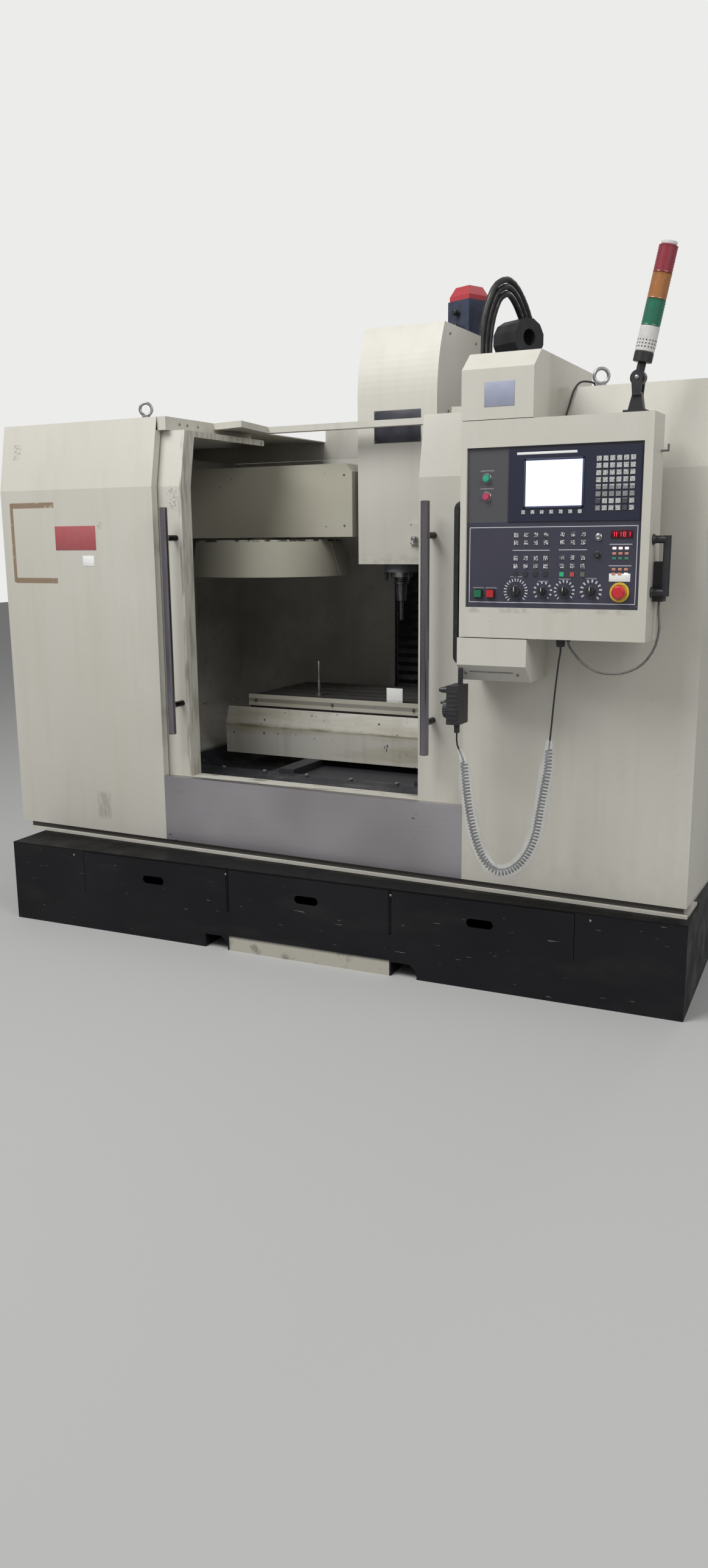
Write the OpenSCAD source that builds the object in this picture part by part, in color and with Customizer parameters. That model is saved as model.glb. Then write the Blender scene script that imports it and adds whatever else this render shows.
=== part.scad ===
// Vertical machining center: open-top enclosure with two sliding doors,
// moving table, umbrella tool magazine, swinging control box and a
// free-standing coolant tank with three chip drawers.
// Millimetres, +X to the right of the operator, +Y to the back, +Z up.

/* [Enclosure] */
// Overall width of the sheet-metal enclosure
enclosure_w = 2756; // [2700:4:2820]
// Depth of the enclosure's side walls
enclosure_d = 1450; // [1420:5:1500]
// Height of the enclosure's lower edge above the floor
panel_bottom = 353; // [345:1:370]
// Height of the enclosure's top above the floor
enclosure_top = 1953; // [1945:1:1975]
// Height at which the front starts to lean back
knee_z = 1702; // [1660:1:1740]
// How far the front leans back at the top
bevel_back = 48; // [30:1:60]
// Thickness of the enclosure's sheet metal
sheet_t = 4; // [3:0.5:5]
// Width of the fixed panel left of the opening
left_panel_w = 746; // [730:1:760]
// Width of the fixed panel right of the opening
right_panel_w = 762; // [750:1:775]
// Depth of the flanges beside the opening
return_d = 33; // [20:1:36]
// Height of the steel apron's top edge
apron_top = 608; // [600:1:620]
// Height of the cream lip under the panels
lip_h = 10.7; // [8:0.1:20]
// Height of the dark recess between lip and panels
lip_gap = 22; // [10:1:28]
// Depth of the header beam's front face behind the panels
header_y = 600; // [560:1:620]
// Height of the header beam
header_h = 24; // [16:1:34]
// Width of the rails on top of the enclosure
rail_w = 37; // [25:1:45]
// Height of the rails on top of the enclosure
rail_h = 48; // [36:1:48]

/* [Doors] */
// Width of each sliding door
door_w = 644; // [640:1:660]
// Door surface behind the front panels
door_y = 40; // [38:1:46]
// Depth of a door's side flanges
door_flange = 64; // [40:1:66]
// Thickness of the door skin
door_t = 3; // [2:0.5:4]
// Strip of the left door that shows beside its panel
left_strip = 103; // [60:1:120]
// Strip of the right door that shows beside its panel
right_strip = 183; // [120:1:200]
// Depth of a door's roof behind its front
door_roof_d = 594; // [500:1:610]
// Height of the doors' top
door_top = 1904; // [1890:1:1904]
// Width of a door window
window_w = 370; // [300:1:380]
// Height of a door window
window_h = 513; // [400:1:530]
// Height of a window's lower edge above the floor
window_sill = 1100; // [1050:1:1150]
// Thickness of the window pane
pane_t = 6; // [4:1:10]
// Diameter of a door handle bar
handle_d = 30; // [24:1:36]
// Length of a door handle bar
handle_len = 833; // [700:1:860]
// Height of a handle's lower end above the floor
handle_low = 787; // [760:1:820]
// Distance of the handle bar's axis from the door
handle_off = 72; // [60:1:80]
// Handle axis from the left door's closing edge
left_handle_in = 30; // [26:1:60]
// Handle axis from the right door's closing edge
right_handle_in = 55; // [30:1:70]

/* [Coolant tank] */
// Width of the coolant tank
tank_w = 2650; // [2600:1:2680]
// Height of the coolant tank
tank_h = 320; // [300:1:320]
// Depth of the tank across its full width
tank_d = 430; // [420:1:440]
// Depth of the tank's two side wings
wing_d = 1000; // [800:5:1050]
// Angle at which the tank stands to the machine, degrees
tank_skew = 3; // [0:0.5:4]
// Left front corner of the tank from the enclosure's left edge
tank_x = 130; // [100:1:150]
// Distance the tank's left corner stands in front of the panels
tank_out = 200; // [180:1:220]
// Width of a chip drawer
drawer_w = 645; // [600:1:650]
// Height of a chip drawer's front
drawer_h = 165; // [120:1:170]
// Depth of a chip drawer
drawer_d = 380; // [300:1:390]
// Thickness of the drawer sheet
drawer_t = 4; // [3:0.5:6]
// Length of a drawer's hand slot
slot_w = 94; // [80:1:110]
// Height of a drawer's hand slot
slot_h = 31; // [24:1:36]
// Height of the fork pockets under the tank
fork_h = 52; // [30:1:60]

/* [Table and saddle] */
// Length of the work table
table_w = 1200; // [1150:5:1200]
// Depth of the work table
table_d = 505; // [480:1:505]
// Height of the table's top above the floor
table_top = 855; // [850:1:870]
// Thickness of the table
table_t = 84.7; // [80:0.1:88]
// Spacing of the T-slots
slot_pitch = 100; // [80:1:100]
// Width of a T-slot's neck
slot_neck = 18; // [14:1:22]
// Length of the long cover in front of the saddle
cover_w = 1464; // [1400:2:1480]

/* [Column and head] */
// Spindle axis from the enclosure's left edge
spindle_x = 1400; // [1380:1:1420]
// Spindle axis behind the front panels
spindle_y = 790; // [786:1:800]
// Height of the spindle nose above the floor
nose_z = 1352; // [1340:1:1365]
// Diameter of the spindle nose
nose_d = 88.9; // [80:0.1:92]
// Running clearance of shafts in their bores
run_gap = 0.08; // [0.02:0.01:0.1]
// Width of the head's sheet-metal cover
head_w = 343; // [330:1:350]
// Height of the head cover's lower edge
head_low = 1405; // [1390:1:1410]
// Height of the head cover's top
head_top = 2322; // [2310:1:2340]
// Front plane of the column's guideway pads
guide_y = 1350; // [1345:1:1360]
// Height of the column's top
column_top = 2230; // [2200:1:2240]
// Size across the flats of the feed motor
motor_w = 131; // [100:1:140]
// Height of the feed motor's top with its cap
motor_top = 2590; // [2560:1:2600]

/* [Tool magazine] */
// Magazine axis from the enclosure's left edge
mag_x = 769; // [760:1:775]
// Outer radius of the magazine shroud's lower rim
shroud_r = 333; // [320:1:335]
// Height of the magazine shroud
shroud_h = 150; // [140:1:155]
// Height of the shroud's lower rim above the floor
shroud_z = 1355; // [1345:1:1360]
// Number of tool grippers on the carousel
gripper_count = 10; // [8:1:16]

/* [Control box] */
// Width of the control box
control_w = 578; // [560:1:600]
// Height of the control box
control_h = 642; // [630:1:645]
// Depth of the control box
control_d = 128; // [110:1:128]
// Left edge of the control box from the enclosure's left edge
control_x = 2055; // [2050:1:2070]
// Height of the control box's lower edge
control_z = 1203; // [1200:1:1210]
// Distance of the control box's front before the panels
control_out = 198; // [196:1:204]
// Wall thickness of the control box
control_t = 3; // [2:0.5:5]
// Depth of the recess around the operator panel
recess_d = 8; // [4:1:12]
// Width of the duct that carries the control box
duct_w = 225; // [200:1:240]
// Radius of the swivel pins
pivot_r = 25; // [20:0.5:30]
// Diameter of the signal tower
tower_d = 54; // [50:1:60]
// Angle at which the signal tower leans, degrees
tower_lean = 11.3; // [0:0.1:20]

/* [Hidden] */

$fn = 48;
clear = 0.3;
cut = 1;

cream = "#c9c6b6";
black = "#242528";
steel = "#8d8f94";
cast_grey = "#5d6164";
panel_blue = "#3a3d4c";

back_y = 2320;
front_y = -236;
tank_end = tank_x + tank_w * cos(tank_skew);
origin_x = max(tank_end, enclosure_w) / 2;
origin_y = (front_y + back_y) / 2;

open_left = left_panel_w;
open_right = enclosure_w - right_panel_w;
lean = bevel_back / (enclosure_top - knee_z);

// Puts a shape drawn from the enclosure's left front corner into the frame
module placed() translate([-origin_x, -origin_y, 0]) children();

// Box between two opposite corners
module block(low, high) translate(low) cube(high - low);

// Rod between two heights
module post(x, y, low, high, r) translate([x, y, low]) cylinder(r = r, h = high - low);

// Rod that runs to the back from a point
module rod_y(x, y, z, r, len) translate([x, y, z]) rotate([-90, 0, 0]) cylinder(r = r, h = len);

// Rod that runs to the right from a point
module rod_x(x, y, z, r, len) translate([x, y, z]) rotate([0, 90, 0]) cylinder(r = r, h = len);

// Profile in the side view, pulled from one X to another
module side_profile(x0, x1, points)
    translate([x0, 0, 0]) rotate([90, 0, 90]) linear_extrude(height = x1 - x0) polygon(points);

// Outline in the front view, pulled from one Y to another
module front_profile(y0, y1, points)
    translate([0, y1, 0]) rotate([90, 0, 0]) linear_extrude(height = y1 - y0) polygon(points);

// Bend of the front sheet: y of the outer surface at height z, set back by d
function front_at(z, d) = d + max(0, z - knee_z) * lean;

// Front sheet between two heights, t thick, its face d behind the panels
function skin(z0, z1, d, t) = [
    [front_at(z0, d), z0], [front_at(knee_z, d), knee_z], [front_at(z1, d), z1],
    [front_at(z1, d) + t, z1], [front_at(knee_z, d) + t, knee_z], [front_at(z0, d) + t, z0]];

// Frame of the coolant tank: x along its front, y into it
module tank_frame()
    placed() translate([tank_x, -tank_out, 0]) rotate([0, 0, tank_skew]) children();

drawer_z = tank_h - 5 - drawer_h;
drawer_at = [345, 998, 1650];
wing_left_w = 740;
wing_right_w = 790;
fork_w = 97;
fork_at = [drawer_at[0] + drawer_w - fork_w, drawer_at[2]];

module drawer_bay(x)
    block([x, -cut, drawer_z], [x + drawer_w, drawer_d + 10, drawer_z + drawer_h]);

module coolant_tank() {
    color(black) tank_frame() difference() {
        union() {
            block([0, 0, 0], [tank_w, tank_d, tank_h]);
            block([0, 0, 0], [wing_left_w, wing_d, tank_h]);
            block([tank_w - wing_right_w, 0, 0], [tank_w, wing_d, tank_h]);
        }
        for (x = drawer_at) drawer_bay(x);
        for (x = fork_at)
            front_profile(-cut, tank_d + cut, [
                [x, -cut], [x, fork_h], [x + fork_w - 26, fork_h], [x + fork_w, fork_h - 26], [x + fork_w, -cut]]);
        for (x = [drawer_at[1] - 3, drawer_at[2] - 3])
            block([x - 1, -cut, drawer_z], [x + 2, 3, tank_h + cut]);
    }
}

// Open chip tray with a flush front and a hand slot
module drawer(x) {
    gap = 2;
    back = drawer_d;
    slot_z = drawer_z + drawer_h / 2 + 2;
    color(black) tank_frame() difference() {
        block([x + gap, 0, drawer_z + clear], [x + drawer_w - gap, back, drawer_z + drawer_h - gap]);
        block([x + gap + drawer_t, drawer_t, drawer_z + drawer_t],
              [x + drawer_w - gap - drawer_t, back - drawer_t, drawer_z + drawer_h]);
        hull() for (side = [-1, 1])
            rod_y(x + drawer_w / 2 + side * (slot_w - slot_h) / 2, -cut, slot_z, slot_h / 2, drawer_t + 2 * cut);
    }
}

module drawer_left() drawer(drawer_at[0]);
module drawer_middle() drawer(drawer_at[1]);
module drawer_right() drawer(drawer_at[2]);

// Bed casting with two guideways and a bolted deck in front
bed_half = 490;
bed_front = 420;
bed_back = 1950;
bed_top = 575;
foot_h = 60;
deck_z = 586;
deck_front = 250;
way_x = 300;
way_w = 70;
way_top = 604.7;
way_front = 335;

module bed() {
    color(cast_grey) placed() {
        difference() {
            front_profile(bed_front, bed_back, [
                [spindle_x - bed_half, foot_h], [spindle_x - bed_half, foot_h + 240],
                [spindle_x - bed_half + 80, foot_h + 360], [spindle_x - bed_half + 80, bed_top],
                [spindle_x + bed_half - 80, bed_top], [spindle_x + bed_half - 80, foot_h + 360],
                [spindle_x + bed_half, foot_h + 240], [spindle_x + bed_half, foot_h]]);
            for (side = [-1, 1], y = [bed_front + 120 : 340 : bed_back - 300])
                translate([spindle_x + side * bed_half, y, foot_h + 40])
                    translate([-30, 0, 0]) cube([60, 260, 160]);
            for (y = [bed_front + 60 : 490 : bed_back - 460])
                block([spindle_x - bed_half + 110, y, foot_h - cut],
                      [spindle_x + bed_half - 110, y + 430, bed_top - 70]);
        }
        block([spindle_x - bed_half + 80, deck_front, bed_top - 60],
              [spindle_x + bed_half - 80, bed_front, bed_top]);
        block([spindle_x - bed_half + 80, deck_front, bed_top],
              [spindle_x + bed_half - 80, way_front - 5, deck_z - clear]);
        for (side = [-1, 1])
            block([spindle_x + side * way_x - way_w / 2, way_front, bed_top],
                  [spindle_x + side * way_x + way_w / 2, guide_y - 20, way_top]);
    }
}

module levelling_feet() {
    color(steel) placed() for (side = [-1, 1], y = [bed_front + 60, 1240, bed_back - 60]) {
        post(spindle_x + side * (bed_half - 50), y, 0, 22, 70);
        post(spindle_x + side * (bed_half - 50), y, 22, foot_h - clear, 28);
    }
}

// Column casting with guideways, motor deck and the magazine's beam
column_y = guide_y + 25;
column_back = 1950;
channel_w = 160;
screw_y = 1500;
screw_r = 20;
rail_x = 190;
rail_t = 50;
shelf_z = 640;
bellows_w = 540;
bellows_front = guide_y - 45;
beam_low = 1640;
beam_high = 1760;
beam_y0 = 950;
beam_y1 = 1010;
beam_left = 400;
beam_right = 1100;

module column() {
    base_half = 450;
    top_half = 360;
    color(cast_grey) placed() {
        difference() {
            front_profile(column_y, column_back, [
                [spindle_x - base_half, bed_top + clear], [spindle_x - base_half, 900],
                [spindle_x - top_half, 1500], [spindle_x - top_half, column_top],
                [spindle_x + top_half, column_top], [spindle_x + top_half, 1500],
                [spindle_x + base_half, 900], [spindle_x + base_half, bed_top + clear]]);
            block([spindle_x - channel_w / 2, column_y - cut, shelf_z + 60],
                  [spindle_x + channel_w / 2, screw_y + 70, column_top - 20]);
            post(spindle_x, screw_y, column_top - 40, column_top + cut, screw_r + 4);
            block([spindle_x - top_half + 45, screw_y + 115, bed_top - cut],
                  [spindle_x + top_half - 45, column_back - 45, column_top - 60]);
        }
        for (side = [-1, 1])
            block([spindle_x + side * rail_x - rail_t / 2, guide_y, shelf_z + 60],
                  [spindle_x + side * rail_x + rail_t / 2, column_y, column_top - 50]);
        block([spindle_x - bellows_w / 2, bellows_front, shelf_z - 35],
              [spindle_x + bellows_w / 2, column_y, shelf_z]);
        block([beam_left, beam_y0, beam_low], [beam_right, beam_y1, beam_high]);
        block([beam_right - 120, beam_y0, beam_low], [beam_right, column_y + 60, beam_high]);
    }
}

// Pleated guard between the shelf and the head, closed accordion profile
head_block_low = 1450;
bellows_top = head_block_low - clear;
pleats = 20;

module column_bellows() {
    depth = guide_y - 5 - bellows_front;
    low = shelf_z + clear;
    pitch = (bellows_top - low) / pleats;
    outer = [for (i = [0 : 2 * pleats])
        [bellows_front + (i % 2 == 0 ? depth * 0.45 : 0), low + i * pitch / 2]];
    color(black) placed()
        side_profile(spindle_x - bellows_w / 2 + 10, spindle_x + bellows_w / 2 - 10,
            concat(outer, [[bellows_front + depth, bellows_top], [bellows_front + depth, low]]));
}

nut_low = 1700;
nut_high = 1800;

module z_screw() {
    color(steel) placed() {
        post(spindle_x, screw_y, shelf_z + 60 + clear, column_top + 30, screw_r);
        post(spindle_x, screw_y, shelf_z + 60 + clear, shelf_z + 100, screw_r + 25);
    }
}

module z_motor() {
    flange_z = column_top + clear;
    cap_h = 60;
    turn = -23.5;
    placed() translate([spindle_x, screw_y, 0]) rotate([0, 0, turn]) {
        color("#3b4254") difference() {
            translate([-motor_w / 2, -motor_w / 2, flange_z])
                cube([motor_w, motor_w, motor_top - cap_h - flange_z]);
            post(0, 0, flange_z - cut, flange_z + 40, screw_r + 2);
        }
        color("#b3383d") hull() {
            translate([-motor_w * 0.46, -motor_w * 0.46, motor_top - cap_h])
                cube([motor_w * 0.92, motor_w * 0.92, cap_h * 0.35]);
            translate([-motor_w * 0.32, -motor_w * 0.32, motor_top - 1])
                cube([motor_w * 0.64, motor_w * 0.64, 1]);
        }
    }
}

// Fixed front panels, each one folded sheet with side wall and roof
function side_wall() = [
    [sheet_t / 2, panel_bottom], [sheet_t / 2, knee_z], [front_at(enclosure_top, sheet_t / 2), enclosure_top],
    [enclosure_d, enclosure_top], [enclosure_d, panel_bottom]];
function return_flange() = skin(panel_bottom, enclosure_top - rail_h, sheet_t / 2, return_d - sheet_t / 2);

module left_panel() {
    color(cream) placed() {
        side_profile(0, open_left, skin(panel_bottom, enclosure_top, 0, sheet_t));
        side_profile(0, sheet_t, side_wall());
        side_profile(open_left - sheet_t, open_left, return_flange());
        block([sheet_t / 2, bevel_back + sheet_t / 2, enclosure_top - sheet_t],
              [open_left, enclosure_d, enclosure_top]);
        block([sheet_t / 2, sheet_t / 2, panel_bottom], [open_left - 1, return_d, panel_bottom + sheet_t]);
    }
}

module right_panel() {
    color(cream) placed() {
        side_profile(open_right, enclosure_w, skin(panel_bottom, enclosure_top, 0, sheet_t));
        side_profile(enclosure_w - sheet_t, enclosure_w, side_wall());
        side_profile(open_right, open_right + sheet_t, return_flange());
        block([open_right, bevel_back + sheet_t / 2, enclosure_top - sheet_t],
              [enclosure_w - sheet_t / 2, enclosure_d, enclosure_top]);
        block([open_right + 1, sheet_t / 2, panel_bottom],
              [enclosure_w - sheet_t / 2, return_d, panel_bottom + sheet_t]);
    }
}

module apron() {
    color(steel) placed() {
        x0 = open_left + clear;
        x1 = open_right - clear;
        block([x0, 0, panel_bottom], [x1, sheet_t, apron_top]);
        block([x0, sheet_t, apron_top - sheet_t], [x1, return_d, apron_top]);
        block([x0, sheet_t, panel_bottom], [x1, return_d, panel_bottom + sheet_t]);
    }
}

// Welded frame: door rail, posts, top rails, gussets, header and lower lip
frame_in = 12;
track_y0 = return_d + 2;
track_y1 = door_y + door_flange + 2;
track_h = 48;
gusset_y = 376;
gusset_x = 935 - 746;
header_in = 883 - 746;
header_t = 40;
post_w = 50;
post_y = 112;

module frame_side(side) {
    x = side < 0 ? open_left + clear : open_right - clear;
    outer = side < 0 ? frame_in : enclosure_w - frame_in;
    far = outer - side * post_w;
    rail_far = x - side * rail_w;
    high = enclosure_top - sheet_t - clear;
    block([min(x, rail_far), bevel_back + sheet_t, enclosure_top - rail_h],
          [max(x, rail_far), header_y + header_t, enclosure_top]);
    for (y = [post_y, enclosure_d - post_w - 10])
        block([min(outer, rail_far), y, enclosure_top - rail_h], [max(outer, rail_far), y + post_w, high]);
    translate([0, 0, enclosure_top - header_h]) linear_extrude(height = header_h)
        polygon([[x, gusset_y], [x - side * gusset_x, gusset_y - 45],
                 [x - side * header_in, header_y + header_t], [x, header_y + header_t]]);
    block([min(outer, far), post_y, panel_bottom - lip_gap],
          [max(outer, far), post_y + post_w, high]);
    block([min(outer, far), enclosure_d - post_w - 10, panel_bottom - lip_gap],
          [max(outer, far), enclosure_d - 10, high]);
    block([min(outer, far), post_y, panel_bottom - lip_gap - lip_h],
          [max(outer, far), enclosure_d - 10, panel_bottom - lip_gap]);
}

module enclosure_frame() {
    lip_x0 = 34;
    color(cream) placed() {
        block([open_left + header_in - 1, header_y, enclosure_top - header_h],
              [open_right - header_in + 1, header_y + header_t, enclosure_top]);
        for (side = [-1, 1]) frame_side(side);
        block([frame_in, track_y0, apron_top - track_h], [enclosure_w - frame_in, track_y1, apron_top]);
        block([frame_in, track_y1, apron_top - track_h], [enclosure_w - frame_in, post_y + post_w, apron_top - 20]);
        block([lip_x0, -2, panel_bottom - lip_gap - lip_h],
              [enclosure_w + 4, post_y + post_w, panel_bottom - lip_gap]);
        block([lip_x0 + 6, 12, panel_bottom - lip_gap], [enclosure_w - 10, 16, panel_bottom - clear]);
    }
}

// Splash walls with upright ribs, a back wall with a notch for the magazine's beam,
// chip chutes and the grey front deck
wall_in = 250;
wall_top = 1870;
rib_top = 1300;
chute_z = 735;
chute_end = 640;
pan_z = 545;
pan_t = 4;
wall_front = post_y + post_w + clear;
wall_back = guide_y - 7;
deck_t = 4;
deck_half = 740;

module splash_side(side) {
    wall = side < 0 ? wall_in : 2 * spindle_x - wall_in;
    foot = side < 0 ? chute_end : 2 * spindle_x - chute_end;
    bed_side = spindle_x + side * (bed_half - 80);
    front_profile(wall_front, wall_back, [
        [wall, wall_top], [wall, chute_z], [foot, pan_z], [bed_side, pan_z],
        [bed_side, pan_z - pan_t], [foot, pan_z - pan_t],
        [wall + side * pan_t, chute_z - pan_t], [wall + side * pan_t, wall_top]]);
    for (y = [wall_front + 60 : 95 : wall_front + 820])
        block([min(wall + side, wall - side * 14), y, chute_z + 4], [max(wall + side, wall - side * 14), y + 34, rib_top]);
}

module inner_walls() {
    color("#8c8f92") placed() {
        for (side = [-1, 1]) splash_side(side);
        for (side = [-1, 1]) {
            wall = side < 0 ? wall_in : 2 * spindle_x - wall_in;
            inner = spindle_x + side * (bellows_w / 2 + 20);
            bed_side = spindle_x + side * (bed_half - 80 + clear);
            notch = side < 0 ? [[inner, beam_low - 5], [beam_right - 125, beam_low - 5], [beam_right - 125, wall_top]] : [[inner, wall_top]];
            front_profile(wall_back - 2, wall_back + 3, concat([
                [wall, wall_top], [wall, pan_z - 2], [bed_side, pan_z - 2],
                [bed_side, bed_top + clear], [inner, bed_top + clear]], notch));
        }
        block([spindle_x - deck_half, wall_front, deck_z], [spindle_x + deck_half, way_front - 5, deck_z + deck_t]);
        block([spindle_x - deck_half, wall_front + 1, pan_z - pan_t + 1], [spindle_x + deck_half, wall_front + 5, deck_z + 1]);
        for (i = [-3 : 3])
            post(spindle_x + 10 + i * 196, 304, deck_z + deck_t, deck_z + deck_t + 9, 8);
    }
}

module eye_bolt(x, y) translate([x, y, enclosure_top + clear]) {
    ring_r = 22;
    wire_r = 5.5;
    cylinder(r = 15, h = 6);
    translate([0, 0, 6 + ring_r + wire_r - 3]) rotate([90, 0, -27])
        rotate_extrude() translate([ring_r, 0]) circle(r = wire_r, $fn = 20);
}

module eye_bolts() color(steel) placed() {
    eye_bolt(open_left - 63, 72);
    eye_bolt(2401, 80);
}

// Fixed duct over the control box
pivot_x = control_x + duct_w / 2;
pivot_y = -130;
control_top = control_z + control_h;
duct_low = control_top + 2;
duct_high = 2044;
duct_back = 406;

module arm_duct() {
    nose_h = 144;
    nose_in = 65;
    color(cream) placed() {
        side_profile(control_x, control_x + duct_w, [
            [-control_out, duct_low], [-control_out, duct_low + nose_h],
            [-control_out + nose_in, duct_high], [duct_back, duct_high - 6],
            [duct_back, enclosure_top + clear], [bevel_back - clear, enclosure_top + clear],
            [front_at(duct_low, 0) - clear, duct_low]]);
        post(pivot_x, pivot_y, control_top - control_t, duct_low, pivot_r - run_gap);
    }
}

// Box that carries the control box from below
bracket_top = control_z - 3;
bracket_h = 84;

module lower_bracket() {
    color(cream) placed() {
        side_profile(control_x - 6, control_x + duct_w - 5, [
            [-control_out, bracket_top], [-control_out, bracket_top - bracket_h],
            [-control_out + 48, bracket_top - bracket_h - 52], [-clear, bracket_top - bracket_h - 50],
            [-clear, bracket_top]]);
        post(pivot_x, pivot_y, bracket_top, control_z + control_t, pivot_r - run_gap);
    }
}

// Housing over the magazine's drive, open below and behind
mag_cover_x0 = 380;
mag_cover_x1 = 1226;
mag_cover_y = 690;
mag_cover_back = 1150;
mag_cover_low = 1515;
mag_cover_top = 1805;
mag_t = 4;

module magazine_cover() {
    corner = 32;
    outline = [
        [mag_cover_x0, mag_cover_low], [mag_cover_x0, mag_cover_top - corner],
        [mag_cover_x0 + corner, mag_cover_top], [mag_cover_x1 - corner, mag_cover_top],
        [mag_cover_x1, mag_cover_top - corner], [mag_cover_x1, mag_cover_low]];
    color(cream) placed() {
        difference() {
            front_profile(mag_cover_y, mag_cover_back, outline);
            front_profile(mag_cover_y + mag_t, mag_cover_back + cut, [
                [mag_cover_x0 + mag_t, mag_cover_low - cut],
                [mag_cover_x0 + mag_t, mag_cover_top - corner - mag_t],
                [mag_cover_x0 + corner, mag_cover_top - mag_t],
                [mag_cover_x1 - corner, mag_cover_top - mag_t],
                [mag_cover_x1 - mag_t, mag_cover_top - corner - mag_t],
                [mag_cover_x1 - mag_t, mag_cover_low - cut]]);
        }
        for (x = [beam_left + 60, beam_right - 90])
            block([x, beam_y0 + 10, beam_high + clear], [x + 40, beam_y1 - 10, mag_cover_top - mag_t]);
    }
}

// Black drum that the head's hoses pass over
drum_r = 84;
drum_len = 140;
drum_turn = -29;
drum_x = 1658;
drum_y = 1430;
drum_foot = 27;

module hose_drum() {
    flat = 12;
    seat = drum_r * cos(180 / flat);
    color(black) placed() translate([drum_x, drum_y, column_top + drum_foot + seat + clear]) rotate([0, 0, drum_turn]) {
        difference() {
            rotate([0, 90, 0]) rotate([0, 0, 180 / flat])
                cylinder(r = drum_r, h = drum_len, center = true, $fn = flat);
            translate([0, 0, 4]) rotate([0, 90, 0]) cylinder(r = 34, h = drum_len + 2 * cut, center = true);
        }
        translate([-drum_len / 2 + 10, -22, -seat - drum_foot]) cube([drum_len - 20, 44, drum_foot + 4]);
    }
}

// Electrical cabinet on the column's back
cabinet_x0 = 950;
cabinet_x1 = 1850;
cabinet_z0 = 420;
cabinet_z1 = 2000;
cabinet_t = 3;
cabinet_door_t = 20;
frame_w = 32;
hinge_r = 6;
hinge_x = cabinet_x0 + hinge_r;
hinge_y = back_y - 10;
hinge_at = [700, 1200, 1700];

module cabinet() {
    door_plane = back_y - cabinet_door_t;
    color(cream) placed() {
        difference() {
            block([cabinet_x0, column_back + clear, cabinet_z0], [cabinet_x1, door_plane, cabinet_z1]);
            block([cabinet_x0 + cabinet_t, column_back + cabinet_t, cabinet_z0 + cabinet_t],
                  [cabinet_x1 - cabinet_t, door_plane - cabinet_t, cabinet_z1 - cabinet_t]);
            block([cabinet_x0 + frame_w, column_back + 20, cabinet_z0 + frame_w],
                  [cabinet_x1 - frame_w, door_plane + cut, cabinet_z1 - frame_w]);
        }
        for (z = hinge_at) {
            block([hinge_x - hinge_r, door_plane - cut, z - 22], [hinge_x + hinge_r, hinge_y, z - clear]);
            post(hinge_x, hinge_y, z - 22, z - clear, hinge_r);
            post(hinge_x, hinge_y, z - 22, z + 40, 3);
        }
        for (i = [0 : 3])
            block([cabinet_x0 + 90 + i * 190, column_back + cabinet_t, 1350],
                  [cabinet_x0 + 230 + i * 190, column_back + 190, 1720]);
        for (x = [cabinet_x0 + 120, cabinet_x0 + 500])
            block([x, column_back + cabinet_t, 700], [x + 260, column_back + 130, 1050]);
    }
}

module cabinet_door() {
    color(cream) placed() {
        block([cabinet_x0 + 14, back_y - cabinet_door_t + clear, cabinet_z0 + 6],
              [cabinet_x1 - 6, back_y - 4, cabinet_z1 - 6]);
        block([cabinet_x1 - 90, back_y - 4, 1150], [cabinet_x1 - 60, back_y, 1290]);
        difference() {
            for (z = hinge_at) {
                post(hinge_x, hinge_y, z, z + 60, hinge_r);
                block([hinge_x, hinge_y - 4, z], [cabinet_x0 + 20, hinge_y + 4, z + 60]);
            }
            for (z = hinge_at) post(hinge_x, hinge_y, z - cut, z + 45, 3 + run_gap);
        }
    }
}

// Hand-held pulse generator hanging under the lower bracket
pend_x = 2030;
pend_w = 42;
pend_low = 929;
pend_high = 1052;
pend_back = front_y + 80;
wheel_z = 974;
wheel_y = (front_y + pend_back) / 2;

module pendant_body() {
    hook_y = -control_out + 8;
    hook_top = bracket_top - bracket_h - (hook_y + 4 + control_out) * 52 / 48 - clear;
    color(black) placed() {
        difference() {
            block([pend_x, front_y, pend_low], [pend_x + pend_w, pend_back, pend_high]);
            rod_x(pend_x - cut, wheel_y, wheel_z, 6 + run_gap, 20);
        }
        for (y = [wheel_y - 20, wheel_y + 20]) rod_x(pend_x - 22, y, 1036, 9, 22);
        block([pend_x + 22, hook_y - 4, pend_high], [pend_x + 36, hook_y + 4, hook_top]);
        post(pend_x + pend_w / 2, wheel_y, pend_low - 30, pend_low, 9);
    }
}

module pendant_wheel() {
    wheel_r = 30;
    color("#1d1d1f") placed() {
        difference() {
            rod_x(pend_x - 18, wheel_y, wheel_z, wheel_r, 17.7);
            for (i = [0 : 23])
                translate([pend_x - 19, wheel_y + (wheel_r + 1.2) * cos(i * 15), wheel_z + (wheel_r + 1.2) * sin(i * 15)])
                    rotate([0, 90, 0]) cylinder(r = 2.4, h = 20, $fn = 12);
        }
        rod_x(pend_x - 34, wheel_y, wheel_z + 19, 5, 16);
        rod_x(pend_x - 1, wheel_y, wheel_z, 6, 18);
    }
}

// Tube swept along points, closed at both ends, n sides
function unit(v) = v / norm(v);
function tangent(p, i) = unit(p[min(i + 1, len(p) - 1)] - p[max(i - 1, 0)]);
function ring(p, i, r, n, up) =
    let (t = tangent(p, i), a = unit(cross(t, up)), b = cross(a, t))
    [for (k = [0 : n - 1]) p[i] + r * (cos(360 * k / n) * a + sin(360 * k / n) * b)];

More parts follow.
